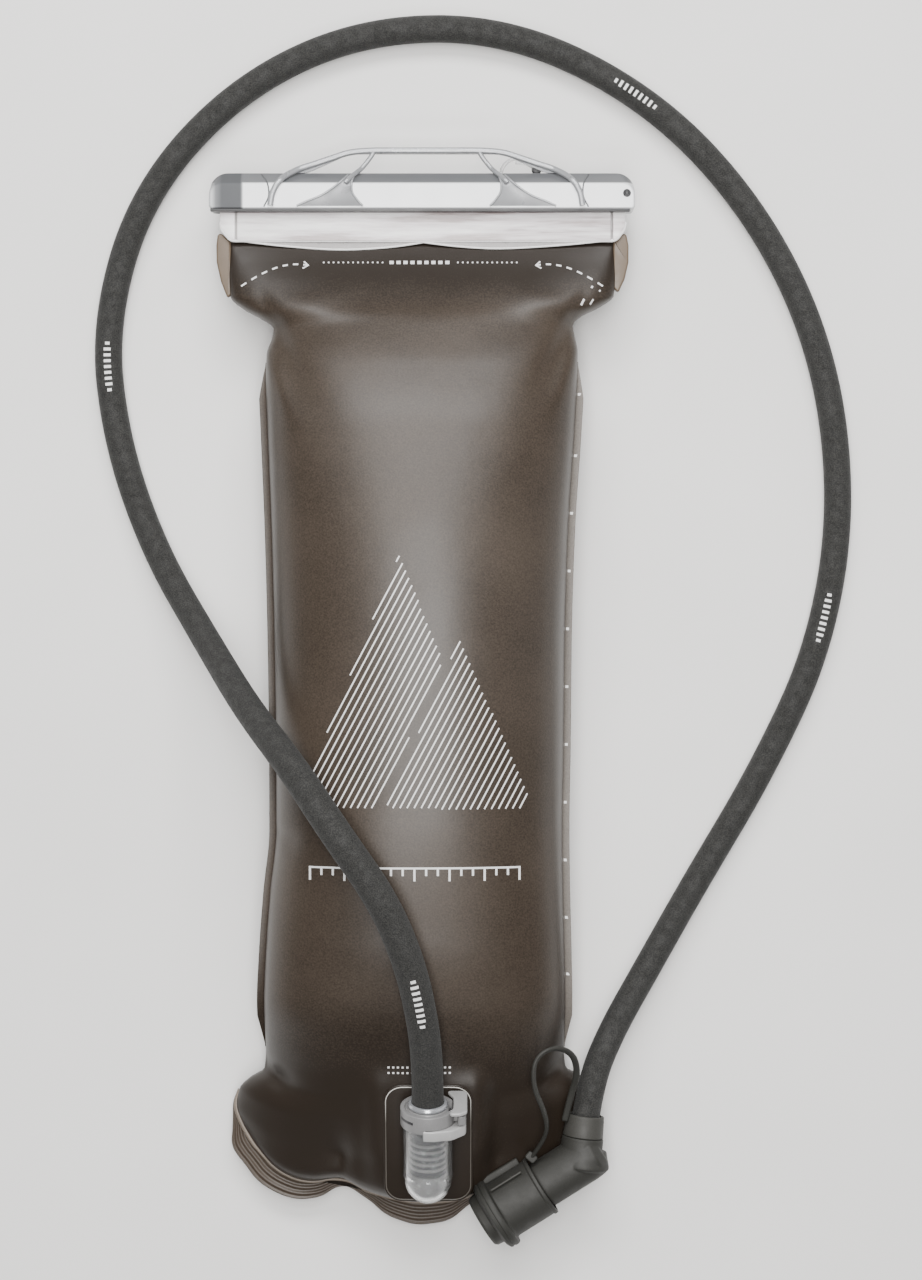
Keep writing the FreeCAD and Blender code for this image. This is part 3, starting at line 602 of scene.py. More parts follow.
def spline_points(route, name):
    """Points on the smooth line that a cord's route stands for, in millimetres."""
    data = bpy.data.curves.new(name, "CURVE")
    data.dimensions = "3D"
    spline = data.splines.new("NURBS")
    spline.points.add(len(route) - 1)
    for point, spot in zip(spline.points, route):
        point.co = (*[MM * part for part in spot], 1)
    spline.order_u = 3
    spline.use_endpoint_u = True
    spline.resolution_u = 24
    curve = bpy.data.objects.new(name, data)
    bpy.context.collection.objects.link(curve)
    line = bpy.data.meshes.new_from_object(curve)
    points = np.array([vertex.co for vertex in line.vertices]) / MM
    bpy.data.objects.remove(curve)
    bpy.data.meshes.remove(line)
    return points


# ------------------------------------------------------------------ cords

HOSE_DIAMETER = 10.8
HOSE_SWELL, HOSE_SWELL_END, HOSE_SWELL_FADE = 0.12, 240.0, 120.0
HOSE_ROUTE = [
    (2.5, -156.43, 56.88), (2.5, -143.0, 61.76), (1.0, -125.0, 69.0), (-4.0, -101.0, 77.5),
    (-14.0, -77.0, 83.0), (-31.0, -53.0, 83.5), (-48.0, -28.0, 75.0), (-66.0, -7.0, 53.0),
    (-84.0, 19.0, 22.0), (-106.0, 55.0, 6.5), (-121.0, 98.0, 5.9), (-126.0, 144.0, 5.8),
    (-111.0, 196.0, 5.8), (-73.0, 238.0, 5.8), (-23.0, 261.0, 5.8), (35.0, 261.0, 5.8),
    (91.0, 233.0, 5.8), (132.0, 189.0, 5.8), (158.0, 135.0, 5.8), (166.0, 74.0, 5.8),
    (157.0, 17.0, 5.8), (134.0, -32.0, 5.8), (107.0, -77.0, 6.6), (89.0, -108.0, 11.5),
    (73.5, -134.0, 18.5), (65.3, -153.9, 23.2), (62.61, -173.55, 24.0),
]
HOSE_MARKS, HOSE_MARK_PITCH = (45.0, 344.0, 636.0, 869.0), 2.3
STRIP_TOP, STRIP_END = 128.0, -141.0
STRIP_MARKS, STRIP_MARK_PITCH = (114.0, -115.0), 22.4
TETHER_WIDTH = 2.6
TETHER_ROUTE = [
    (55.4, -167.1, 27.6), (57.4, -157.5, 31.0), (60.2, -148.0, 36.5), (58.3, -139.0, 43.0),
    (50.5, -135.5, 49.0), (43.0, -140.0, 51.0), (42.6, -151.0, 48.5), (47.0, -161.0, 43.5),
    (48.6, -169.0, 38.0), (45.8, -176.0, 32.5), (42.7, -180.6, 29.0),
]


def hose_swell(along):
    """How much thicker the sleeve gets towards the connector."""
    return 1.0 + HOSE_SWELL * np.clip((HOSE_SWELL_END - along) / HOSE_SWELL_FADE, 0, 1)


def make_hose():
    path = spline_points(HOSE_ROUTE, "hose_line")
    hose = sweep("hose", path, circle_section(HOSE_DIAMETER / 2, 44), "hose", hose_swell(distances(path)))
    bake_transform(hose)
    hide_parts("hose")
    return hose, path


def mark_hose(path):
    """Rows of small pale dashes on top of the sleeve, one of them near the connector."""
    line, _, sides, ups = frames_along(path)
    along = distances(line)
    for row, middle in enumerate(HOSE_MARKS):
        radius = HOSE_DIAMETER / 2 * hose_swell(middle)
        points, faces = [], []
        for dash in range(-4, 5):
            wide = 0.16 if abs(dash) == 4 else 0.25
            faces += ring_faces(3, 10, len(points))
            for step in (-0.55, 0.0, 0.55):
                at = middle + dash * HOSE_MARK_PITCH + step
                centre, side, up = (
                    np.array([np.interp(at, along, column) for column in table.T])
                    for table in (line, sides, ups)
                )
                side, up = side / np.linalg.norm(side), up / np.linalg.norm(up)
                lean = math.atan2(side[2], up[2])
                for lift, turns in ((0.10, (-wide, wide)), (-0.15, (wide, -wide))):
                    for turn in np.linspace(*turns, 5):
                        angle = lean + turn
                        across = math.sin(angle) * side + math.cos(angle) * up
                        points.append(centre + across * (radius + lift))
        marks = mesh_piece(f"hose_marks_{row}", points, faces, "ink", smooth=False)
        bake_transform(marks)


def mark_strip(line):
    """Small level marks down the right side weld, about every 22 mm."""
    points, faces = [], []
    for y in np.arange(*STRIP_MARKS, -STRIP_MARK_PITCH):
        spot = line[int(np.argmin(np.abs(line[:, 1] - y)))]
        faces += ring_faces(2, 4, len(points))
        for up in (0.3, 0.85):
            for across, ahead in ((0.5, -0.5), (1.7, -0.5), (1.7, 0.5), (0.5, 0.5)):
                points.append((spot[0] + across, spot[1] + ahead, spot[2] + up))
    finish_piece(mesh_piece("side_marks", points, faces, "ink", smooth=False), "bag", "weld_film")


def make_tether():
    """A soft flat strap with a rounded section, edge-on where it turns."""
    path = spline_points(TETHER_ROUTE, "tether_line")
    section = rounded_box_section(TETHER_WIDTH, 1.5, 0.7)
    tether = sweep("cap_tether", path, section, "rubber")
    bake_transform(tether)
    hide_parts("cap_tether")
    return tether, path


# ------------------------------------------------------------------ bag

# The bag's edge, seen from the front: for each station along Y, the left and right edge as
# (X, Y), from the mouth down to the outside of the bottom ears.
BAG_EDGES = [
    (175.5, (-74.4, 175.5), (74.4, 175.5)),
    (172.0, (-74.5, 172.0), (74.5, 172.0)),
    (160.0, (-75.0, 160.0), (75.0, 160.0)),
    (153.0, (-74.6, 153.0), (74.6, 153.5)),
    (148.0, (-69.5, 148.2), (69.0, 149.0)),
    (143.5, (-62.3, 144.2), (61.5, 145.2)),
    (140.0, (-57.8, 140.6), (58.6, 141.6)),
    (136.0, (-58.4, 136.4), (59.4, 137.0)),
    (131.0, (-60.2, 131.0), (60.4, 131.5)),
    (122.0, (-60.6, 122.0), (60.2, 122.0)),
    (100.0, (-59.7, 100.0), (59.0, 100.0)),
    (62.0, (-58.1, 62.0), (56.5, 62.0)),
    (20.0, (-57.0, 20.0), (55.2, 20.0)),
    (-20.0, (-56.4, -20.0), (54.8, -20.0)),
    (-54.0, (-56.3, -54.0), (54.3, -54.0)),
    (-77.0, (-58.6, -77.0), (54.6, -77.0)),
    (-100.0, (-60.4, -100.0), (55.2, -100.0)),
    (-124.0, (-61.6, -124.0), (55.7, -124.0)),
    (-141.0, (-61.4, -141.0), (55.5, -141.0)),
    (-147.0, (-62.2, -148.5), (56.3, -148.0)),
    (-151.0, (-67.0, -151.6), (61.0, -150.8)),
    (-156.0, (-72.0, -156.6), (66.3, -155.4)),
    (-163.0, (-73.2, -163.5), (68.0, -162.5)),
    (-170.0, (-70.9, -170.5), (66.0, -169.8)),
    (-178.0, (-66.0, -179.0), (61.5, -178.5)),
]
# The bottom edge from the left ear to the right one.
BOTTOM_EDGE = [
    (-66.0, -179.0), (-58.2, -187.8), (-50.0, -192.3), (-42.0, -193.4), (-36.0, -192.4),
    (-31.0, -192.4), (-23.3, -196.5), (-16.0, -199.0), (-6.0, -201.2), (4.0, -201.6),
    (13.0, -200.6), (19.0, -198.8), (26.0, -194.4), (31.0, -192.4), (38.0, -193.2),
    (46.0, -191.8), (54.0, -186.6), (61.5, -178.5),
]
# Down the middle: Y, top, seam height, bottom and the power of the front's arch.
BAG_PROFILE = [
    (175.5, 25.1, 24.5, 22.4, 6.5),
    (172.0, 26.9, 24.5, 22.0, 6.0),
    (166.0, 30.2, 24.6, 20.0, 4.4),
    (152.0, 39.0, 25.0, 12.0, 2.7),
    (140.0, 46.4, 26.5, 5.0, 2.3),
    (125.0, 54.4, 29.0, 0.6, 2.3),
    (100.0, 63.2, 31.0, 0.2, 2.3),
    (60.0, 69.6, 32.0, 0.2, 2.3),
    (0.0, 72.0, 32.0, 0.2, 2.3),
    (-50.0, 71.0, 32.0, 0.2, 2.3),
    (-95.0, 65.0, 30.0, 0.2, 2.3),
    (-120.0, 57.8, 26.0, 0.2, 2.3),
    (-140.0, 49.6, 19.0, 0.2, 2.1),
    (-160.0, 42.2, 12.5, 0.4, 1.75),
    (-185.0, 33.2, 10.2, 1.2, 1.35),
    (-195.0, 29.3, 10.2, 3.2, 1.25),
    (-199.0, 25.0, 10.2, 5.4, 1.25),
    (-201.6, 10.4, 10.2, 9.9, 1.25),
]
BAG_ROWS = 250
BAG_COLUMNS = 110
BAG_MOUTH_Y, EAR_Y, FOOT_Y = 175.5, -178.0, -201.6
BOW_START, BOW_POWER = -95.0, 1.8
BACK_POWER = 2.7
FLOOR_CLEAR = 0.2
SHOULDER_FOLDS = [
    # start, end, half width and depth of soft folds in the front film
    ((-57.0, 142.0), (-41.0, 106.0), 5.5, -2.0),
    ((-60.0, 128.0), (-47.0, 96.0), 5.0, 1.6),
    ((-58.0, 146.0), (-30.0, 150.0), 5.0, 0.5),
    ((58.0, 143.0), (42.0, 108.0), 5.0, -1.8),
    ((60.0, 130.0), (49.0, 98.0), 5.0, 1.4),
    ((59.0, 147.0), (32.0, 152.0), 5.0, 0.5),
    ((-56.0, -54.0), (-44.0, -60.0), 5.0, -1.4),
    ((-62.0, -145.0), (-48.0, -158.0), 4.5, -2.6),
    ((-33.0, -193.0), (-30.0, -168.0), 4.5, -3.4),
    ((28.5, -193.0), (27.0, -170.0), 4.5, -2.6),
    ((56.0, -143.0), (44.0, -156.0), 4.5, -2.4),
]


def smooth_table(rows, column, at):
    """A smooth value between a table's rows, which run down in their first column."""
    keys = np.array([row[0] for row in rows], float)
    values = np.array([row[column] for row in rows], float)
    slopes = np.zeros(len(keys))
    steps = np.diff(values) / np.diff(keys)
    for number in range(1, len(keys) - 1):
        if steps[number - 1] * steps[number] > 0:
            slopes[number] = 2 / (1 / steps[number - 1] + 1 / steps[number])
    slopes[0], slopes[-1] = steps[0], steps[-1]
    at = np.clip(at, keys[-1], keys[0])
    place = np.clip(np.searchsorted(-keys, -at, side="right") - 1, 0, len(keys) - 2)
    width = keys[place + 1] - keys[place]
    share = (at - keys[place]) / width
    a = values[place] * (1 + 2 * share) * (1 - share) ** 2
    b = slopes[place] * width * share * (1 - share) ** 2
    c = values[place + 1] * share**2 * (3 - 2 * share)
    d = slopes[place + 1] * width * share**2 * (share - 1)
    return a + b + c + d


def fold_height(x, y):
    """How far the soft folds push the front film out or in at a place."""
    total = np.zeros_like(x)
    for (x0, y0), (x1, y1), width, depth in SHOULDER_FOLDS:
        along = np.array([x1 - x0, y1 - y0])
        length = np.linalg.norm(along)
        along = along / length
        share = ((x - x0) * along[0] + (y - y0) * along[1]) / length
        aside = (x - x0) * along[1] - (y - y0) * along[0]
        fade = np.exp(-(np.maximum(0, share - 0.35) / 0.42) ** 2)
        fade = fade * np.exp(-(np.minimum(0, share) / 0.22) ** 2)
        total = total + depth * fade * np.exp(-(aside / (width * (0.55 + 0.6 * np.clip(share, 0, 1)))) ** 2)
    return total


def pucker_height(y, reach):
    """Small pleats where the film is gathered along its side welds."""
    wave = np.sin(y * 0.33 + 1.7 * np.sin(y * 0.071)) + 0.6 * np.sin(y * 0.81 + 2.0)
    return 0.35 * wave * np.exp(-(reach / 0.09) ** 2)


PATCH_HALF = 17.2
PATCH_LONG = 23.5
PORT_FOOT = Vector((2.5, -174.2, 37.0))
PORT_TILT = math.radians(20.0)
AXIS_HEIGHT = 12.6


def patch_plane(y):
    return PORT_FOOT.z + (y - PORT_FOOT.y) * math.tan(PORT_TILT) + 0.15


def section_arch(angles, power):
    """Across and up on an arch from -1 to 1: round for a power of 2, boxier above it."""
    wide = np.sign(angles) * np.abs(np.sin(angles)) ** (2 / power)
    rise = np.maximum(np.cos(angles), 0) ** (2 / power)
    rise[0] = rise[-1] = 0.0
    return wide, rise


def bag_surface():
    """Front and back of the filled film as two grids of points that share their edge."""
    stations = np.linspace(BAG_MOUTH_Y, EAR_Y, BAG_ROWS)
    angles = np.linspace(-math.pi / 2, math.pi / 2, BAG_COLUMNS)
    edge_rows = [(key, *left, *right) for key, left, right in BAG_EDGES]
    left_x, left_y, right_x, right_y = (
        smooth_table(edge_rows, column, stations) for column in (1, 2, 3, 4)
    )
    bow = np.clip((BOW_START - stations) / (BOW_START - EAR_Y), 0, 1) ** BOW_POWER
    bottom = smooth_line(BOTTOM_EDGE, 400)
    (first_x, first_y), (final_x, final_y) = BOTTOM_EDGE[0], BOTTOM_EDGE[-1]
    front = np.zeros((BAG_ROWS, BAG_COLUMNS, 3))
    back = np.zeros((BAG_ROWS, BAG_COLUMNS, 3))
    middle_y = stations + bow * (FOOT_Y - EAR_Y)
    top, seam, low, power = (smooth_table(BAG_PROFILE, column, middle_y) for column in (1, 2, 3, 4))
    for row in range(BAG_ROWS):
        wide, rise = section_arch(angles, power[row])
        share = (wide + 1) / 2
        x = left_x[row] + share * (right_x[row] - left_x[row])
        y = left_y[row] + share * (right_y[row] - left_y[row])
        last_x = first_x + share * (final_x - first_x)
        sag = np.interp(last_x, bottom[:, 0], bottom[:, 1]) - (first_y + share * (final_y - first_y))
        flat_sag = (FOOT_Y - (first_y + final_y) / 2) * (1 - np.abs(wide) ** 2.4)
        y = y + bow[row] * (sag * bow[row] + flat_sag * (1 - bow[row]))
        z = seam[row] + (top[row] - seam[row]) * rise
        front[row] = np.column_stack([x, y, z])
        wide_back, rise_back = section_arch(angles, BACK_POWER)
        share = (wide_back + 1) / 2
        x = left_x[row] + share * (right_x[row] - left_x[row])
        y_back = np.interp(wide_back, wide, y)
        z = seam[row] - (seam[row] - low[row] + 2.5 * (low[row] < 1.0)) * rise_back
        back[row] = np.column_stack([x, y_back, np.maximum(z, FLOOR_CLEAR)])
    return front, back, seam


def shape_front(front, seam):
    """Lay soft folds, side pleats and the flat seat of the port into the front film."""
    x, y, z = front[:, :, 0], front[:, :, 1], front[:, :, 2]
    rows = np.linspace(0, 1, BAG_ROWS)[:, None]
    columns = np.abs(np.linspace(-1, 1, BAG_COLUMNS))[None, :]
    calm = np.clip((1 - columns) / 0.10, 0, 1) * np.clip(rows / 0.03, 0, 1) * np.clip((1 - rows) / 0.03, 0, 1)
    z = z + calm * (fold_height(x, y) + pucker_height(y, 1 - columns))
    z = z + calm * 0.5 * np.sin(x * 0.055 + 0.4) * np.sin(y * 0.032 + 1.0)
    aside = np.maximum(np.abs(x - PORT_FOOT.x) - PATCH_HALF, 0)
    beyond = np.maximum(np.abs(y - PORT_FOOT.y) - PATCH_LONG * math.cos(PORT_TILT), 0)
    seat = np.clip(1 - np.hypot(aside, beyond) / 10.0, 0, 1)
    seat = seat * seat * (3 - 2 * seat) * np.clip((1 - rows) / 0.04, 0, 1)
    z = z + seat * (patch_plane(y) - z)
    front[:, :, 2] = np.maximum(z, seam[:, None])
    return front


def make_bag():
    front, back, seam = bag_surface()
    front = shape_front(front, seam)
    size = BAG_ROWS * BAG_COLUMNS
    points = front.reshape(-1, 3).tolist() + back.reshape(-1, 3).tolist()
    faces = []
    for row in range(BAG_ROWS - 1):
        for column in range(BAG_COLUMNS - 1):
            here = row * BAG_COLUMNS + column
            below = here + BAG_COLUMNS
            faces.append((here, here + 1, below + 1, below))
            faces.append((size + here, size + below, size + below + 1, size + here + 1))
    for column in range(BAG_COLUMNS - 1):
        faces.append((column + 1, column, size + column, size + column + 1))
        last = (BAG_ROWS - 1) * BAG_COLUMNS + column
        faces.append((last, last + 1, size + last + 1, size + last))
    bag = mesh_piece("bag_film_body", points, faces, "film")
    finish_piece(bag, "bag", "bag_film", "front_panel", "back_panel")
    return bag, front


def make_side_strip(name, side, front, material, node):
    """The folded weld that stands out along one side of the bag."""
    column = 0 if side < 0 else BAG_COLUMNS - 1
    edge = front[:, column]
    chosen = edge[(edge[:, 1] < STRIP_TOP) & (edge[:, 1] > STRIP_END)]
    line = smooth_line(chosen[::4].tolist(), 170)
    count = len(line)
    ends = np.clip(np.minimum(np.arange(count), np.arange(count)[::-1]) / 9, 0.08, 1)
    rings = []
    for centre, share in zip(line, ends):
        ring = []
        for across, up in rounded_box_section(3.3, 0.9, 0.4):
            reach = (across + 1.1) * share
            ring.append((centre[0] + side * reach, centre[1], centre[2] + up + 0.25 * reach))
        rings.append(ring)
    strip = rings_mesh(name, rings, material)
    return finish_piece(strip, "bag", "weld_film", node), line


# The bottom weld's width at shares of the way from the left ear's top to the right one's.
WELD_WIDTHS = [
    (0.0, 0.6), (0.045, 2.0), (0.075, 4.6), (0.10, 8.4), (0.14, 8.2), (0.18, 8.8), (0.25, 8.0),
    (0.30, 5.6), (0.335, 2.8), (0.37, 2.4), (0.40, 3.2), (0.44, 7.2), (0.50, 9.4), (0.56, 8.0),
    (0.60, 3.4), (0.63, 2.4), (0.665, 2.8), (0.70, 5.6), (0.75, 8.0), (0.82, 8.6), (0.88, 6.4),
    (0.95, 2.0), (1.0, 0.6),
]
WELD_RIBS = 4.5
WELD_LEFT_Y, WELD_RIGHT_Y = -157.0, -156.0     # where it starts on the two sides
WELD_HEIGHT, WELD_TUCK, WELD_POINTS = 8.9, 3.0, 420


def weld_wave(x):
    """How the bottom weld rises and falls along its length."""
    return 0.3 * math.sin(x * 0.11)


def make_flange(front):
    """The ribbed bottom weld: wide round each ear and under the middle lobe, narrow between."""
    bottom = front[-1]
    left = front[(front[:, 0, 1] < WELD_LEFT_Y)][:, 0]
    right = front[(front[:, -1, 1] < WELD_RIGHT_Y)][:, -1]
    line = np.vstack([left[:-1], bottom, right[::-1][1:]])
    line = smooth_line(line[::4].tolist() + [line[-1]], WELD_POINTS)
    flat = line[:, :2]
    ahead = np.gradient(flat, axis=0)
    normals = np.column_stack([ahead[:, 1], -ahead[:, 0]])
    normals /= np.linalg.norm(normals, axis=1, keepdims=True)
    for _ in range(14):
        normals[1:-1] = (normals[:-2] + 2 * normals[1:-1] + normals[2:]) / 4
    normals /= np.linalg.norm(normals, axis=1, keepdims=True)
    if normals[WELD_POINTS // 2, 1] > 0:
        normals = -normals
    along = distances(flat)
    along = along / along[-1]
    reach = np.interp(along, *zip(*WELD_WIDTHS))
    kernel = np.ones(13) / 13
    reach = np.convolve(np.pad(reach, 6, mode="edge"), kernel, mode="valid")
    rings = []
    across = np.linspace(0, 1, 34)
    for centre, normal, wide in zip(line, normals, reach):
        ridge = 0.34 * np.cos(across * math.tau * WELD_RIBS + math.pi) * np.clip(wide / 6, 0, 1)
        ridge = ridge * np.clip((1 - across) / 0.08, 0, 1) * np.clip(across / 0.08, 0, 1)
        half = 0.62 * np.sqrt(np.clip(1 - np.maximum(0, across - 0.94) ** 2 / 0.0036, 0, 1))
        base = WELD_HEIGHT + weld_wave(centre[0])
        offsets = across * (wide + WELD_TUCK) - WELD_TUCK
        top, low = (
            [(*(centre[:2] + normal * offset), base + rise + side * thick)
             for offset, rise, thick in zip(offsets, ridge, half)]
            for side in (1, -1)
        )
        rings.append(top + low[::-1])
    lip = [(*(centre[:2] + normal * 0.25), WELD_HEIGHT + 1.05 + weld_wave(centre[0]))
           for centre, normal in zip(line, normals)]
    broad = np.interp(along, [0.0, 0.04, 0.11, 0.17, 1.0], [0.7, 1.9, 1.9, 1.0, 1.0])
    finish_piece(sweep("bottom_weld_lip", lip, circle_section(0.6, 12), "tan", broad), "bag", "weld_film")
    flange = rings_mesh("bottom_weld", rings, "weld")
    return finish_piece(flange, "bag", "weld_film", "bottom_flange")


# ------------------------------------------------------------------ prints on the film

INK, INK_STEP = 0.09, 2.5


class FilmPrinter:
    """Lays thin raised ink on the front of the bag."""

    def __init__(self, bag):
        graph = bpy.context.evaluated_depsgraph_get()
        self.tree = BVHTree.FromObject(bag, graph)
        self.points = []
        self.faces = []

    def spot(self, x, y):
        hit, normal, _, _ = self.tree.ray_cast(Vector((x * MM, y * MM, 0.2)), Vector((0, 0, -1)))
        return hit / MM, normal

    def stroke(self, line, width):
        """One closed stroke of ink along a line of (x, y) places."""
        line = np.array(line, float)
        if len(line) == 2:
            line = np.linspace(line[0], line[1], max(2, int(distances(line)[-1] / INK_STEP) + 1))
        ahead = np.gradient(line, axis=0)
        ahead /= np.linalg.norm(ahead, axis=1, keepdims=True)
        self.faces += ring_faces(len(line), 4, len(self.points))
        for (x, y), (ax, ay) in zip(line, ahead):
            for aside, lift in ((0.5, -0.05), (0.5, INK), (-0.5, INK), (-0.5, -0.05)):
                spot, normal = self.spot(x - ay * aside * width, y + ax * aside * width)
                self.points.append(spot + normal * lift)

    def dashes(self, count, first, pitch, y, length, width):
        """A row of level dashes."""
        for number in range(count):
            x = first + number * pitch
            self.stroke([(x, y), (x + length, y)], width)

    def piece(self, name):
        ink = mesh_piece(name, self.points, self.faces, "ink", smooth=False)
        return finish_piece(ink, "bag", "bag_film")


def clipped(start, end, inside):
    """The stretches of a straight line where inside(x, y) is true."""
    steps = np.linspace(0, 1, 240)
    places = np.array(start) + steps[:, None] * (np.array(end) - np.array(start))
    flags = [inside(x, y) for x, y in places]
    spans = []
    begin = None
    for number, flag in enumerate(flags + [False]):
        if flag and begin is None:
            begin = number
        if not flag and begin is not None:
            if number - begin > 3:
                spans.append((places[begin], places[number - 1]))
            begin = None
    return spans


PEAK_BASE, PEAK_GAP = -44.0, 3.2
TALL_PEAK, LOW_PEAK = (-8.0, 52.0, 2.45), (14.0, 22.0, 2.3)   # X and Y of the tip, slope
HATCH_SLANT, HATCH_PITCH, HATCH_WIDTH = math.radians(62.0), 2.35, 0.55
FILL_LINE_Y, SCALE_Y = 165.9, -66.5


def in_peaks(x, y):
    """Whether a place is in one of the two peaks and not in the gap between them."""
    peaks = [PEAK_BASE < y < tip_y - slope * abs(x - tip_x)
             for tip_x, tip_y, slope in (TALL_PEAK, LOW_PEAK)]
    tip_x, tip_y, slope = LOW_PEAK
    gap = abs(y - (tip_y - slope * (tip_x - x))) < PEAK_GAP and x < tip_x and y > PEAK_BASE
    return any(peaks) and not gap


def print_front(bag):
    """Plain marks: a hatched pair of peaks, a fill line, a scale and a few arrows."""
    printer = FilmPrinter(bag)
    direction = np.array([math.cos(HATCH_SLANT), math.sin(HATCH_SLANT)])
    aside = np.array([-direction[1], direction[0]])
    for number in range(-22, 30):
        centre = np.array([2.0, 0.0]) + aside * number * HATCH_PITCH
        for start, end in clipped(centre - direction * 75, centre + direction * 75, in_peaks):
            printer.stroke([start, end], HATCH_WIDTH)
    for side in (-1, 1):
        printer.dashes(13, side * 14.6 - 1.0, side * 1.9, FILL_LINE_Y, 0.6, 0.55)
    printer.dashes(9, -12.6, 2.7, FILL_LINE_Y, 1.6, 1.3)
    for number in range(19):
        x = -42.0 + number * 4.4
        tall = 4.6 if number % 3 == 0 else 2.6
        printer.stroke([(x, SCALE_Y), (x, SCALE_Y - tall)], 0.8)
    printer.stroke([(-42.4, SCALE_Y + 0.3), (37.6, SCALE_Y + 0.3)], 0.7)
    for y in (-143.8, -146.0):
        printer.dashes(14, -13.0, 1.8, y, 0.8, 0.7)
    for side in (-1, 1):
        arc = [(side * (70.0 - 26.0 * share), 156.6 + 8.6 * math.sin(share * 1.9))
               for share in np.linspace(0, 1, 14)]
        for first in range(0, 13, 2):
            printer.stroke(arc[first:first + 2], 0.65)
        tip = np.array(arc[-1])
        printer.stroke([tip + (side * 1.8, 1.6), tip, tip + (side * 2.2, -1.2)], 0.6)
    printer.stroke([(66.0, 156.5), (62.5, 151.0), (61.5, 149.0)], 0.8)
    printer.stroke([(69.0, 155.0), (66.0, 151.0), (65.0, 149.4)], 0.6)
    return printer.piece("front_prints")


# ------------------------------------------------------------------ mouth and slide bar

BAR_LEFT, BAR_RIGHT = -82.5, 82.5
BAR_SOUTH, BAR_NORTH = 186.5, 201.0
BAR_LOW, BAR_FACE = 16.0, 33.0
MOUTH_MIDDLE, BEAD_Y = 24.5, 193.6


def bar_cutter(start, end, low, high):
    """A block that leaves the bar closed only at its right end."""
    corners = box(BAR_LEFT - 2, start, BAR_RIGHT - 2.2, end)
    return slab("cutter", corners, low, high, 0.001, "silver")


def make_bar():
    """The hollow bar: round upper corners, a sloped upper face and a slot for the mouth's bead."""
    corners = box(BAR_LEFT, BAR_SOUTH, BAR_RIGHT, BAR_NORTH)
    levels = [
        # height, inset at the sides, inset at the north face
        (BAR_LOW, 0.9, 3.4), (BAR_LOW + 0.3, 0.3, 2.9), (BAR_LOW + 1.0, 0.0, 2.3),
        (BAR_LOW + 3.4, 0.0, 0.2), (BAR_LOW + 4.2, 0.0, 0.0), (BAR_FACE - 6.2, 0.0, 0.0),
        (BAR_FACE - 5.2, 0.0, 0.25), (BAR_FACE - 1.2, 0.0, 3.7), (BAR_FACE - 0.75, 0.05, 4.15),
        (BAR_FACE - 0.3, 0.3, 4.5), (BAR_FACE, 0.9, 5.1),
    ]
    rings = []
    for height, side, north in levels:
        moved = [(x - math.copysign(side, x), y - north if y == BAR_NORTH else y + side * 0.6)
                 for x, y in corners]
        outline = rounded_outline(moved, [1.4, 1.4, 7.6, 7.6], 12)
        rings.append([(x, y, height) for x, y in outline])
    bar = rings_mesh("slide_bar_shell", rings, "bar")
    combine_solids(bar, "DIFFERENCE", [
        bar_cutter(BAR_SOUTH + 2.4, BAR_NORTH - 5.2, BAR_LOW + 2.4, BAR_FACE - 2.4),
        bar_cutter(BAR_SOUTH - 1, BAR_SOUTH + 3, MOUTH_MIDDLE - 2.8, MOUTH_MIDDLE + 2.8),
    ])
    even_shading(bar, 28)
    # A dark strip along the bar's lower edge: painted shadow in the gap over the rails.
    shadow = rounded_outline(box(-82.0, 185.6, 80.6, 186.8), 0.2, 3)
    finish_piece(slab("bar_painted_shadow_strip", shadow, 28.6, 32.2, 0.2, "dark"), "bar", "bar_plastic")
    return finish_piece(bar, "bar", "bar_plastic", "slide_bar")


def bar_top(y):
    """The height of the bar's upper skin: its flat face, then its slope."""
    return float(np.interp(y, (186.0, 195.9, 197.3, 200.75), (33.02, 33.02, 31.87, 27.87)))


def make_bar_trim():
    """The pad grooves at both ends of the bar's face and the rivet at its stop."""
    lines = {
        "left": [(-62.3, 200.4), (-60.4, 197.6), (-59.4, 194.6), (-59.4, 191.0), (-61.2, 187.2)],
        "right": [(64.7, 200.4), (63.1, 197.6), (62.3, 194.6), (62.5, 191.0), (64.4, 187.2)],
    }
    for name, line in lines.items():
        arc = [(x, y, bar_top(y)) for x, y, _ in smooth_line([(x, y, 0) for x, y in line], 60)]
        groove = sweep(f"pad_line_{name}", arc, circle_section(0.3, 10), "groove")
        finish_piece(groove, "bar", "bar_plastic")
    foot = Matrix.Translation((79.3, 192.5, 0))
    profile = [(0, 32.6), (1.55, 32.6), (1.55, 33.25), (1.15, 33.5), (0.75, 33.3), (0.5, 33.55), (0, 33.6)]
    head = lathe("end_rivet_head", profile, foot, "dark", 40, 0.12)
    finish_piece(head, "bar", "dark_plastic", "end_rivet")


HANDLE_MIDDLE = 1.7
HANDLE_PLANE, HANDLE_WEB = 28.0, 27.6
HANDLE_TOPS = [
    # Y and height
    (180.0, 33.9), (195.3, 33.9), (197.5, 33.2), (200.8, 30.2), (202.5, 28.6), (204.5, HANDLE_PLANE),
    (212.0, HANDLE_PLANE),
]


def handle_height(y):
    """The height of the handle's top: on the bar's face, down its slope and out past it."""
    return float(np.interp(y, *zip(*HANDLE_TOPS)))


def lifted(points):
    return [(x, y, handle_height(y)) for x, y in points]


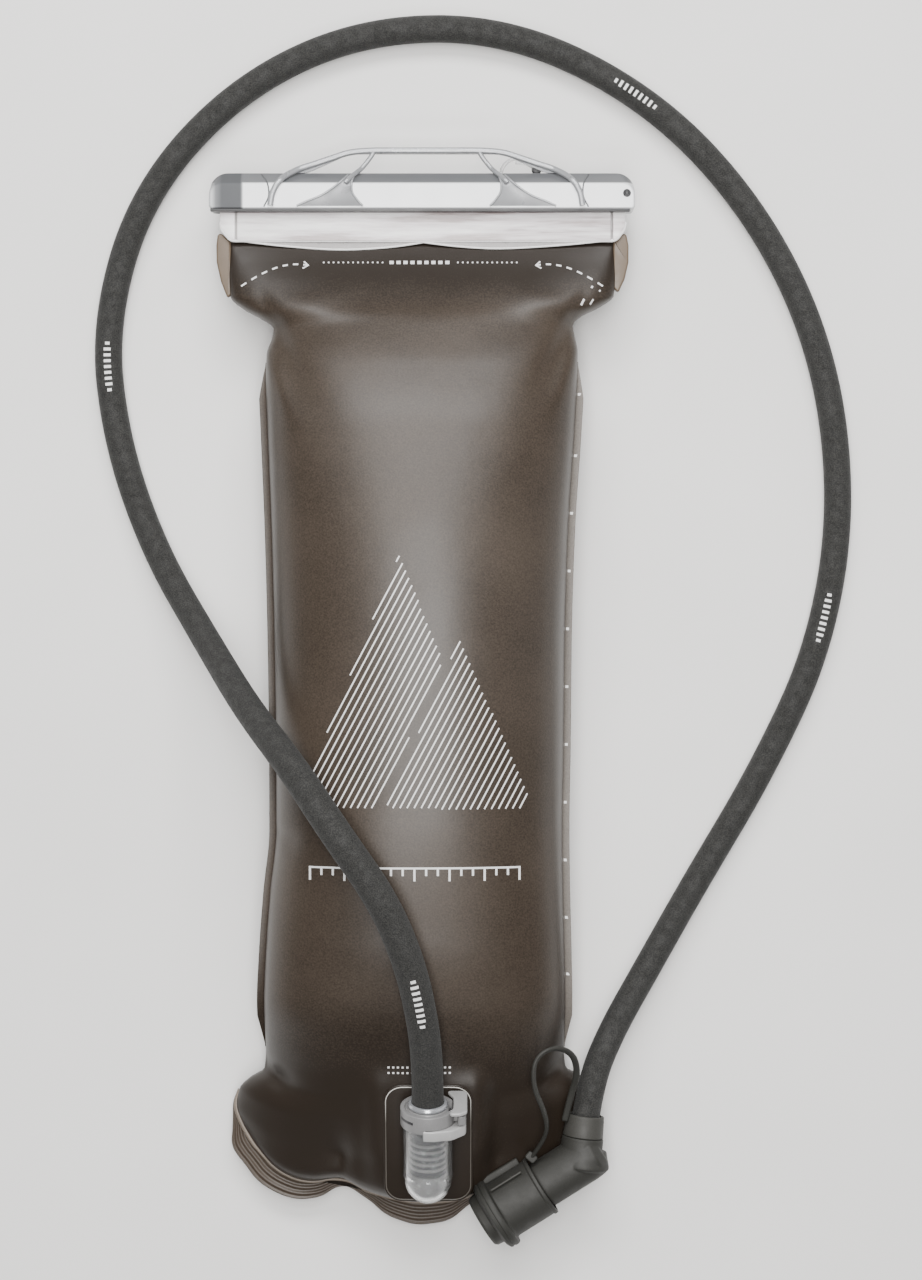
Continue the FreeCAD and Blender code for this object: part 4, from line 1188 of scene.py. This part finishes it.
def make_handle():
    """The carrying arch, moulded with two wishbone legs that run down the face of the bar."""
    right_outer = smooth_line([
        (60.4, 187.6), (59.2, 193.2), (55.6, 198.4), (49.8, 202.2), (43.6, 204.4), (36.2, 206.9),
        (29.6, 208.9), (22.0, 209.6), (13.5, 209.7),
    ], 90)
    right_inner = smooth_line([
        (20.4, 209.4), (21.6, 207.2), (25.2, 202.6), (28.6, 199.4), (31.4, 196.4),
    ], 40)
    flare_out = smooth_line([(30.4, 199.6), (34.4, 195.8), (40.2, 191.8), (46.4, 189.2), (50.2, 187.5)], 40)
    flare_in = smooth_line([(28.0, 199.6), (28.9, 196.4), (28.7, 192.8), (26.6, 189.6), (24.6, 187.5)], 40)
    pieces = []
    for side, name in ((1, "right"), (-1, "left")):
        def here(line):
            return [(HANDLE_MIDDLE + side * x, y) for x, y in line]
        rib = rounded_box_section(2.3, 2.0, 0.8)
        pieces.append(sweep(f"handle_outer_rib_{name}", lifted(here(right_outer)), rib, "silver"))
        inner = rounded_box_section(1.8, 1.8, 0.7)
        pieces.append(sweep(f"handle_inner_rib_{name}", lifted(here(right_inner)), inner, "silver"))
        thin = rounded_box_section(0.85, 1.2, 0.4)
        outer_edge, inner_edge = lifted(here(flare_out)), lifted(here(flare_in))
        for line, part in ((outer_edge, "outer"), (inner_edge, "inner")):
            low = [(x, y, z - 0.55) for x, y, z in line]
            pieces.append(sweep(f"flare_edge_{part}_{name}", low, thin, "silver"))
        rings = []
        for (ax, ay, az), (bx, by, bz) in zip(outer_edge, inner_edge):
            share = np.linspace(0, 1, 9)
            dish = 0.35 * np.sin(share * math.pi)
            top = [(ax + (bx - ax) * t, ay + (by - ay) * t, az + (bz - az) * t - 0.30 - d)
                   for t, d in zip(share, dish)]
            rings.append(top + [(x, y, z - 0.8) for x, y, z in top[::-1]])
        pieces.append(rings_mesh(f"flare_web_{name}", rings, "flare"))
        web_top = smooth_line([(52.6, 200.4), (47.0, 203.2), (40.0, 205.6), (33.8, 207.7), (29.5, 208.6)], 24)
        web_low = smooth_line([(58.0, 200.7), (52.4, 200.9), (46.4, 201.3), (40.6, 203.6), (34.6, 206.3)], 24)
        low = HANDLE_WEB - 1.6
        rings = [[(ax, ay, HANDLE_WEB), (bx, by, HANDLE_WEB), (bx, by, low), (ax, ay, low)]
                 for (ax, ay), (bx, by) in zip(here(web_top), here(web_low))]
        pieces.append(rings_mesh(f"handle_web_{name}", rings, "shade"))
    top = [(HANDLE_MIDDLE + x, 209.7, HANDLE_PLANE) for x in np.linspace(-14, 14, 20)]
    pieces.append(sweep("handle_top", top, rounded_box_section(2.3, 2.0, 0.8), "silver"))
    under = [(HANDLE_MIDDLE + x, 209.5, 25.2) for x in np.linspace(-26, 26, 20)]
    pieces.append(sweep("handle_underside", under, rounded_box_section(1.5, 4.6, 0.6), "silver"))
    for number, piece in enumerate(pieces):
        nodes = ("bar_handle",) if number == 0 else ()
        finish_piece(piece, "bar", "bar_plastic", *nodes, sharp=40)


def make_leash():
    """A clear loop at the handle with a small dark stopper."""
    arc = [(37.4 + 6.6 * math.cos(angle), 201.6 + 6.4 * math.sin(angle), 18.6)
           for angle in np.radians(np.linspace(178, 8, 40))]
    wire = sweep("leash_wire", arc, circle_section(0.75, 16), "clear")
    finish_piece(wire, "bar", "clear_film", "leash_loop")
    knots = [(36.5, 207.0, 19.0), (40.0, 206.6, 19.4), (43.6, 204.9, 19.4), (45.4, 203.2, 19.2)]
    line = smooth_line(knots, 20)
    strap = sweep("leash_strap", line, rounded_box_section(2.6, 0.8, 0.35), "clear")
    finish_piece(strap, "bar", "clear_film")
    profile = [(0, 18.0), (1.7, 18.0), (2.0, 19.2), (1.6, 20.7), (0, 20.9)]
    knob = lathe("leash_stopper", profile, Matrix.Translation((44.6, 203.4, 0)), "dark", 32, 0.3)
    finish_piece(knob, "bar", "dark_plastic", "leash_knob")


def make_rails():
    """Frosted stiffeners on both sides of the folded mouth, with their joints near the ends."""
    for low, node in ((26.75, "mouth_rail_front"), (20.7, "mouth_rail_back")):
        middle = rounded_outline(box(-71.9, 174.5, 73.3, 185.7), 0.5, 4)
        left = rounded_outline(
            [(-74.6, 175.2), (-72.6, 174.7), (-72.6, 185.7), (-78.6, 185.7), (-78.6, 180.2)],
            [2.0, 0.5, 0.4, 0.4, 4.0], 5)
        right = rounded_outline(
            [(74.0, 174.7), (76.0, 175.3), (79.0, 180.4), (79.0, 185.7), (74.0, 185.7)],
            [0.5, 2.0, 4.0, 0.4, 0.4], 5)
        plate = slab(node + "_plate", middle, low, low + 1.6, 0.45, "pearl")
        finish_piece(plate, "bag", "frosted_rail", node)
        for outline, name in ((left, "left"), (right, "right")):
            end = slab(f"{node}_{name}_end", outline, low + 0.1, low + 1.45, 0.4, "pearl")
            finish_piece(end, "bag", "frosted_rail")
        groove = rounded_outline(box(-72.9, 175.4, 73.9, 185.4), 0.4, 3)
        finish_piece(slab(node + "_bed", groove, low + 0.2, low + 0.9, 0.1, "lip"), "bag", "clear_film")


def make_fold():
    """The folded film between the rails, with the bead that runs inside the slide bar."""
    outline = rounded_outline(box(-77.6, 176.5, 77.9, 190.6), 0.8, 4)
    web = slab("mouth_fold_web", outline, MOUTH_MIDDLE - 1.8, MOUTH_MIDDLE + 1.8, 0.6, "lip")
    finish_piece(web, "bag", "clear_film", "mouth_fold")
    bead = rounded_outline(box(189.9, -4.9, 197.4, 4.9), 2.2, 6)
    rings = []
    for x, share in ((-79.2, 0.94), (-78.8, 1.0), (78.8, 1.0), (79.2, 0.94)):
        rings.append([(x, BEAD_Y + (y - BEAD_Y) * share, MOUTH_MIDDLE + z * share) for y, z in bead])
    finish_piece(rings_mesh("mouth_bead", rings, "lip"), "bag", "clear_film", sharp=40)
    # A bead along the rails' lower edge, painted near-white as a highlight line.
    edge = rounded_outline(
        [(-78.3, 182.0), (-78.0, 178.9), (-74.4, 174.6), (75.2, 174.6), (78.6, 179.0), (79.1, 182.0)],
        [0, 3.0, 3.5, 3.5, 3.0, 0], 6, closed=False)
    spaced = even_line([(x, y, 27.55) for x, y in edge], 420)
    seam = sweep("mouth_edge_highlight", spaced, rounded_box_section(1.1, 1.3, 0.5), "white")
    finish_piece(seam, "bag", "clear_film")


def make_lip():
    """The clear lip of the mouth, which shows under the rail as two shallow scallops."""
    lobes = {
        "left": [(-73.6, 174.9), (-54.0, 172.6), (-33.0, 171.2), (-14.0, 172.0), (2.0, 174.2)],
        "right": [(-4.0, 174.6), (14.0, 172.4), (31.0, 171.6), (54.0, 172.9), (75.4, 175.0)],
    }
    for number, (name, edge) in enumerate(lobes.items()):
        curve = smooth_line(edge, 60)
        height = 27.25 + 0.25 * number
        rings = []
        for x, y in curve:
            rings.append([
                (x, 176.6, height - 0.3), (x, 176.6, height), (x, y + 0.3, height + 0.22),
                (x, y, height + 0.05), (x, y, height - 0.2), (x, y + 0.3, height - 0.3),
            ])
        finish_piece(rings_mesh(f"mouth_lip_{name}", rings, "lip"), "bag", "clear_film")
        # A thin rim along each scallop's edge, painted near-white as a highlight line.
        line = [(x, y + 0.1, height + 0.15) for x, y in curve]
        rim = sweep(f"mouth_lip_rim_highlight_{name}", line, circle_section(0.42, 12), "white")
        finish_piece(rim, "bag", "clear_film")


def make_gussets():
    """The folded tabs at both ends of the mouth."""
    outlines = {
        "left": [(-74.4, 174.4), (-79.4, 178.9), (-80.1, 173.0), (-80.0, 166.6), (-78.3, 159.0),
                 (-75.7, 152.4), (-74.2, 154.2)],
        "right": [(74.3, 174.6), (79.2, 178.6), (80.3, 173.0), (80.3, 166.6), (78.8, 160.0),
                  (76.2, 154.4), (74.2, 157.0)],
    }
    for name, outline in outlines.items():
        rounded = rounded_outline(outline, [0.4, 1.2, 2.5, 5.0, 5.0, 0.8, 0.8], 5)
        tab = slab(f"gusset_{name}", rounded, 22.9, 26.1, 0.7, "beige")
        finish_piece(tab, "bag", "clear_film", f"mouth_gusset_{name}")


# ------------------------------------------------------------------ hose port

def port_matrix():
    """Local +Z along the connector, +Y into the bag and +X to the right."""
    normal = Vector((0, -math.sin(PORT_TILT), math.cos(PORT_TILT)))
    along = Vector((0, math.cos(PORT_TILT), math.sin(PORT_TILT)))
    return axis_matrix(PORT_FOOT + normal * AXIS_HEIGHT, along, -normal)


BODY_LOW, BODY_HIGH, RING_HIGH = -18.2, 16.9, 22.7
FACE_ON = Matrix(((1, 0, 0, 0), (0, 0, 1, 0), (0, -1, 0, 0), (0, 0, 0, 1)))


def make_patch():
    """The welded patch under the port and the bright line of its weld."""
    place = port_matrix() @ FACE_ON
    foot = AXIS_HEIGHT
    long = PATCH_LONG + 1.7
    corners = box(-PATCH_HALF, -long, PATCH_HALF, long)
    outline = rounded_outline(corners, 7.0, 12)
    patch = slab("port_patch_film", outline, foot - 0.75, foot - 0.05, 0.3, "film", place)
    finish_piece(patch, "bag", "bag_film", "port_patch")
    inner = rounded_outline([(x * 0.95, y * 0.965) for x, y in corners], 6.4, 12)
    line = [tuple(place @ Vector((x, y, foot - 0.85))) for x, y in inner]
    rings = []
    centre = np.array(line)
    ahead = np.roll(centre, -1, axis=0) - np.roll(centre, 1, axis=0)
    ahead /= np.linalg.norm(ahead, axis=1, keepdims=True)
    up = np.array(place.to_3x3() @ Vector((0, 0, -1)))
    for spot, direction in zip(centre, ahead):
        side = np.cross(direction, up)
        rings.append([spot + 0.19 * (math.cos(a) * side + 0.8 * math.sin(a) * up)
                      for a in np.linspace(0, math.tau, 9)[:-1]])
    weld = rings_mesh("port_patch_weld", rings, "bright_line", caps=False, loop=True)
    finish_piece(weld, "bag", "weld_film")


def arc_points(radius, start, end, steps=24):
    angles = np.radians(np.linspace(start, end, steps))
    return [(radius * math.cos(angle), radius * math.sin(angle)) for angle in angles]


def round_bottom(radius, depth, height, start, end, steps):
    """The rounded end of a turned outline, centred at a height on the axis."""
    angles = [math.radians(angle) for angle in np.linspace(start, end, steps)]
    return [(radius * math.cos(angle), height + depth * math.sin(angle)) for angle in angles]


def make_port():
    """The clear socket: a thin shell with a round bottom, and the milky insert seen inside it."""
    place = port_matrix()
    outside = [(0.0, BODY_LOW)] + round_bottom(9.1, 9.8, -8.4, -84, 0, 20)
    outside += [(9.55, -6.6), (9.55, -5.9), (9.3, -5.2), (9.35, 4.0), (9.5, 12.0), (9.5, BODY_HIGH)]
    inside = [(8.3, BODY_HIGH), (8.1, -5.0)] + round_bottom(7.9, 8.4, -8.4, 0, -86, 18) + [(0.0, -16.8)]
    shell = lathe("port_shell", outside + inside, place, "port", 96, 0.12)
    finish_piece(shell, "bag", "port_plastic", "port_body")
    profile = [(6.3, -5.2), (6.9, -5.2), (6.9, 12.4), (7.7, 12.9), (7.7, 14.2), (6.15, 14.6), (6.15, -4.6)]
    finish_piece(lathe("port_core", profile, place, "inner", 72, 0.15), "bag", "port_plastic")
    for number in range(5):
        height = -2.4 + 2.6 * number
        ridge = [(6.7, height), (7.45, height + 0.35), (7.45, height + 1.35), (6.7, height + 1.6)]
        finish_piece(lathe(f"port_ridge_{number}", ridge, place, "milky", 72, 0.3), "bag", "port_plastic")
    bowl = [(0.0, -16.4)] + round_bottom(7.6, 7.6, -8.6, -84, 0, 16)
    bowl += [(7.8, -5.4), (7.8, -4.6), (6.95, -4.4), (6.95, -5.4), (5.4, -8.5), (0.0, -10.0)]
    finish_piece(lathe("port_bowl", bowl, place, "milky", 72, 0.2), "bag", "port_plastic")
    foot = rounded_outline(box(-6.6, -9.5, 6.6, 15.5), 5.0, 10)
    neck = slab("port_neck", foot, 7.0, AXIS_HEIGHT - 0.8, 0.6, "milky", place @ FACE_ON)
    finish_piece(neck, "bag", "port_plastic")


def make_latch():
    """The latch ring with its recessed top, the bracket on its side and the release button."""
    place = port_matrix()
    profile = [
        (6.4, BODY_HIGH), (9.65, BODY_HIGH), (9.65, 15.5), (10.5, 15.5), (10.5, RING_HIGH),
        (8.9, RING_HIGH), (8.5, 21.9), (8.0, 21.9), (7.7, 22.6), (6.4, 22.6),
    ]
    ring = lathe("latch_ring_body", profile, place, "grey", 96, 0.35)
    slot = arc_points(12.0, 196, 238, 14) + arc_points(9.7, 238, 196, 14)
    slot_cutter = slab("cutter", slot, 18.9, 20.1, 0.001, "grey", place)
    pocket_cutter = slab("cutter", box(7.8, -4.75, 12.5, 4.75), 17.9, 24.5, 0.001, "grey", place)
    combine_solids(ring, "DIFFERENCE", [slot_cutter, pocket_cutter])
    finish_piece(ring, "bag", "latch_plastic", "latch_ring", sharp=35)
    # A dark insert in the ring's slot: painted shade in its depth.
    groove = arc_points(10.52, 198, 236, 14) + arc_points(9.9, 236, 198, 14)
    finish_piece(slab("latch_slot_painted_shade", groove, 18.95, 20.05, 0.1, "dark", place), "bag", "latch_plastic")
    wrap = arc_points(10.56, -94, 8, 26) + [(10.6, 3.6)]
    corners = [(14.6, 3.6), (14.6, -5.6), (9.4, -10.2), (2.0, -11.6), (-1.6, -11.3)]
    wrap += rounded_outline(corners, [0, 3, 5, 5, 0], 6, closed=False)
    bracket = slab("latch_bracket", wrap, 13.2, 17.5, 0.6, "latch_light", place)
    finish_piece(bracket, "bag", "latch_plastic", sharp=50)
    stem = rounded_outline(box(9.8, -4.1, 12.0, 4.1), 0.4, 4)
    finish_piece(slab("release_stem", stem, 18.3, 22.3, 0.4, "grey", place), "button", "latch_plastic")
    outline = rounded_outline(box(11.35, -7.6, 14.4, 7.0), [0.8, 2.8, 2.8, 0.8], 8)
    thumb = slab("release_thumb", outline, 18.1, 21.9, 0.5, "grey", place)
    finish_piece(thumb, "button", "latch_plastic", "release_button", sharp=50)
    corners = [(7.8, -9.6), (12.6, -9.2), (15.0, -7.2), (15.0, 8.0), (13.6, 9.4), (7.0, 9.4), (9.6, 4.5),
               (9.75, 0.0), (9.6, -4.5)]
    outline = rounded_outline(corners, [1.2, 2.0, 2.0, 1.6, 1.6, 1.0, 3.0, 3.0, 3.0], 6)
    lid = slab("release_lid", outline, 22.85, 24.3, 0.5, "latch_light", place)
    finish_piece(lid, "button", "latch_plastic", sharp=50)
    profile = [(6.15, 22.85), (7.5, 22.85), (7.65, 23.6), (7.2, 24.5), (6.5, 24.75), (6.15, 24.5)]
    collar = lathe("connector_collar", profile, place, "ferrule", 72, 0.2)
    finish_piece(collar, "plug", "collar_metal", "plug_collar")


# ------------------------------------------------------------------ bite valve

VALVE_CORNER = Vector((61.4, -183.4, 24.0))
VALVE_ANGLE = math.radians(32.0)
LEG_ANGLE = math.radians(7.0)


def mouth_matrix():
    return axis_matrix(VALVE_CORNER, (-math.cos(VALVE_ANGLE), -math.sin(VALVE_ANGLE), 0), (0, 0, 1))


def leg_matrix():
    return axis_matrix(VALVE_CORNER, (math.sin(LEG_ANGLE), math.cos(LEG_ANGLE), 0), (0, 0, 1))


def make_elbow():
    """A short cylinder along the mouthpiece with a leg that rises out of it in a soft saddle."""
    mouth, leg = mouth_matrix(), leg_matrix()
    barrel = [(0.0, -9.4), (6.0, -9.4), (9.0, -6.6), (9.4, -2.5), (9.4, 18.2), (0.0, 18.2)]
    body = lathe("valve_elbow_body", barrel, mouth, "rubber", 72, 1.6)
    shifted = leg @ Matrix.Translation((-1.3, 0, 0))
    profile = [(0.0, -4.0), (7.6, -4.0), (8.3, 3.0), (8.05, 9.6), (0.0, 9.6)]
    stem = lathe("stem", profile, leg, "rubber", 72, 0.4)
    profile = [(0.0, -2.6), (9.5, -2.6), (10.25, -1.7), (10.2, -0.6), (9.3, 2.2), (8.6, 5.0), (0.0, 5.0)]
    lip = lathe("lip", profile, shifted, "rubber", 72, 0.5)
    combine_solids(body, "UNION", [stem, lip])
    remesh = body.modifiers.new("skin", "REMESH")
    remesh.mode = "VOXEL"
    remesh.voxel_size = 0.3 * MM
    soften = body.modifiers.new("soften", "SMOOTH")
    soften.factor = 0.5
    soften.iterations = 3
    apply_modifiers(body)
    body.data.shade_smooth()
    return finish_piece(body, "bag", "valve_rubber", "valve_elbow")


def make_valve_collar():
    profile = [
        (5.9, 9.75), (7.9, 9.75), (7.75, 12.0), (7.35, 17.4), (7.2, 18.2), (6.3, 18.3), (5.9, 17.8),
    ]
    collar = lathe("hose_collar", profile, leg_matrix(), "pale_rubber_and_highlight", 72, 0.35)
    return finish_piece(collar, "bag", "valve_rubber", "valve_collar")


def make_mouthpiece():
    """The silicone bite tip: round at the elbow and pressed flat at its lips."""
    profile = [
        (3.0, 18.3), (7.4, 18.3), (7.6, 18.6), (7.4, 19.3), (6.7, 19.9), (6.3, 24.0), (6.5, 29.0),
        (8.0, 32.8), (8.5, 35.6), (8.1, 36.8), (6.6, 37.0), (3.4, 36.2), (2.9, 34.0),
    ]
    tip = lathe("bite_tip", profile, Matrix.Identity(4), "silicone", 72, 0.5)
    for vertex in tip.data.vertices:
        share = min(1.0, max(0.0, (vertex.co.z / MM - 20.0) / 12.0))
        flat = share * share * (3 - 2 * share)
        vertex.co.y *= 1 - 0.38 * flat
        vertex.co.x *= 1 + 0.04 * flat
    place = mouth_matrix()
    place.translation *= MM
    tip.data.transform(place)
    return finish_piece(tip, "bite", "bite_silicone", "mouthpiece")


def make_dust_cap():
    """The cover: a lip at its mouth, a ribbed barrel and a thick band with a line round it."""
    place = mouth_matrix()
    outside = [
        (10.4, 17.4), (12.2, 17.4), (12.25, 18.6), (12.0, 19.0), (11.8, 19.2), (11.8, 34.9),
        (12.1, 35.6), (14.0, 36.1), (14.4, 36.9), (14.4, 38.2), (14.05, 38.45), (14.05, 38.85),
        (14.35, 39.1), (14.1, 40.0), (12.6, 40.9), (10.9, 41.2), (10.6, 44.0), (9.8, 45.0),
        (0.0, 45.0),
    ]
    inside = [(0.0, 43.4), (8.9, 43.4), (10.3, 39.5), (10.4, 30.0)]
    cap = lathe("dust_cap_shell", outside + inside, place, "rubber", 96, 0.32)
    finish_piece(cap, "cap", "valve_rubber", "dust_cap")
    line = [(-12.9, 20.4), (-12.95, 28.0), (-13.1, 34.0), (-13.2, 36.2)]
    path = [tuple(place @ Vector((x, 0.0, s))) for x, s in smooth_line(line, 30)]
    rib = sweep("dust_cap_rib", path, rounded_box_section(3.0, 2.6, 0.8), "rubber")
    finish_piece(rib, "cap", "valve_rubber")
    # A pale line along the cap's top: painted highlight.
    path = [tuple(place @ Vector((-9.9, 8.6, s))) for s in np.linspace(21.0, 35.0, 20)]
    edge = sweep("dust_cap_edge_highlight", path, circle_section(0.45, 12), "pale_rubber_and_highlight")
    finish_piece(edge, "cap", "valve_rubber")
    knob = Matrix.Translation(Vector(TETHER_ROUTE[-1])) @ Matrix.Rotation(math.radians(-40), 4, "Z")
    outline = rounded_outline(box(-2.2, -2.2, 2.2, 1.2), 0.9, 5)
    tab = slab("tether_tab", outline, -0.9, 1.2, 0.5, "rubber", knob)
    finish_piece(tab, "cap", "valve_rubber")
    return cap, rib, edge, tab


# ------------------------------------------------------------------ scene

make_camera()
materials = make_materials()
hose, hose_path = make_hose()
tether, tether_path = make_tether()
make_studio()
bag, bag_front = make_bag()
make_side_strip("side_weld_left", -1, bag_front, "film", "side_seam_left")
_, right_line = make_side_strip("side_weld_right", 1, bag_front, "seam", "side_seam_right")
make_flange(bag_front)
print_front(bag)
mark_strip(right_line)
mark_hose(hose_path)
make_bar()
make_bar_trim()
make_handle()
make_leash()
make_rails()
make_fold()
make_lip()
make_gussets()
make_patch()
make_port()
make_latch()
collar = make_valve_collar()
elbow = make_elbow()
mouthpiece = make_mouthpiece()
cap_pieces = make_dust_cap()

CAD_FINISH = {
    "socket_seal": "seal", "poppet": "grey", "button_spring": "steel",
    "poppet_spring": "steel", "plug_body": "grey", "plug_oring": "seal",
}
for node, finish in CAD_FINISH.items():
    mesh_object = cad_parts[node]
    mesh_object.material_slots[0].link = "OBJECT"
    mesh_object.material_slots[0].material = materials[finish]
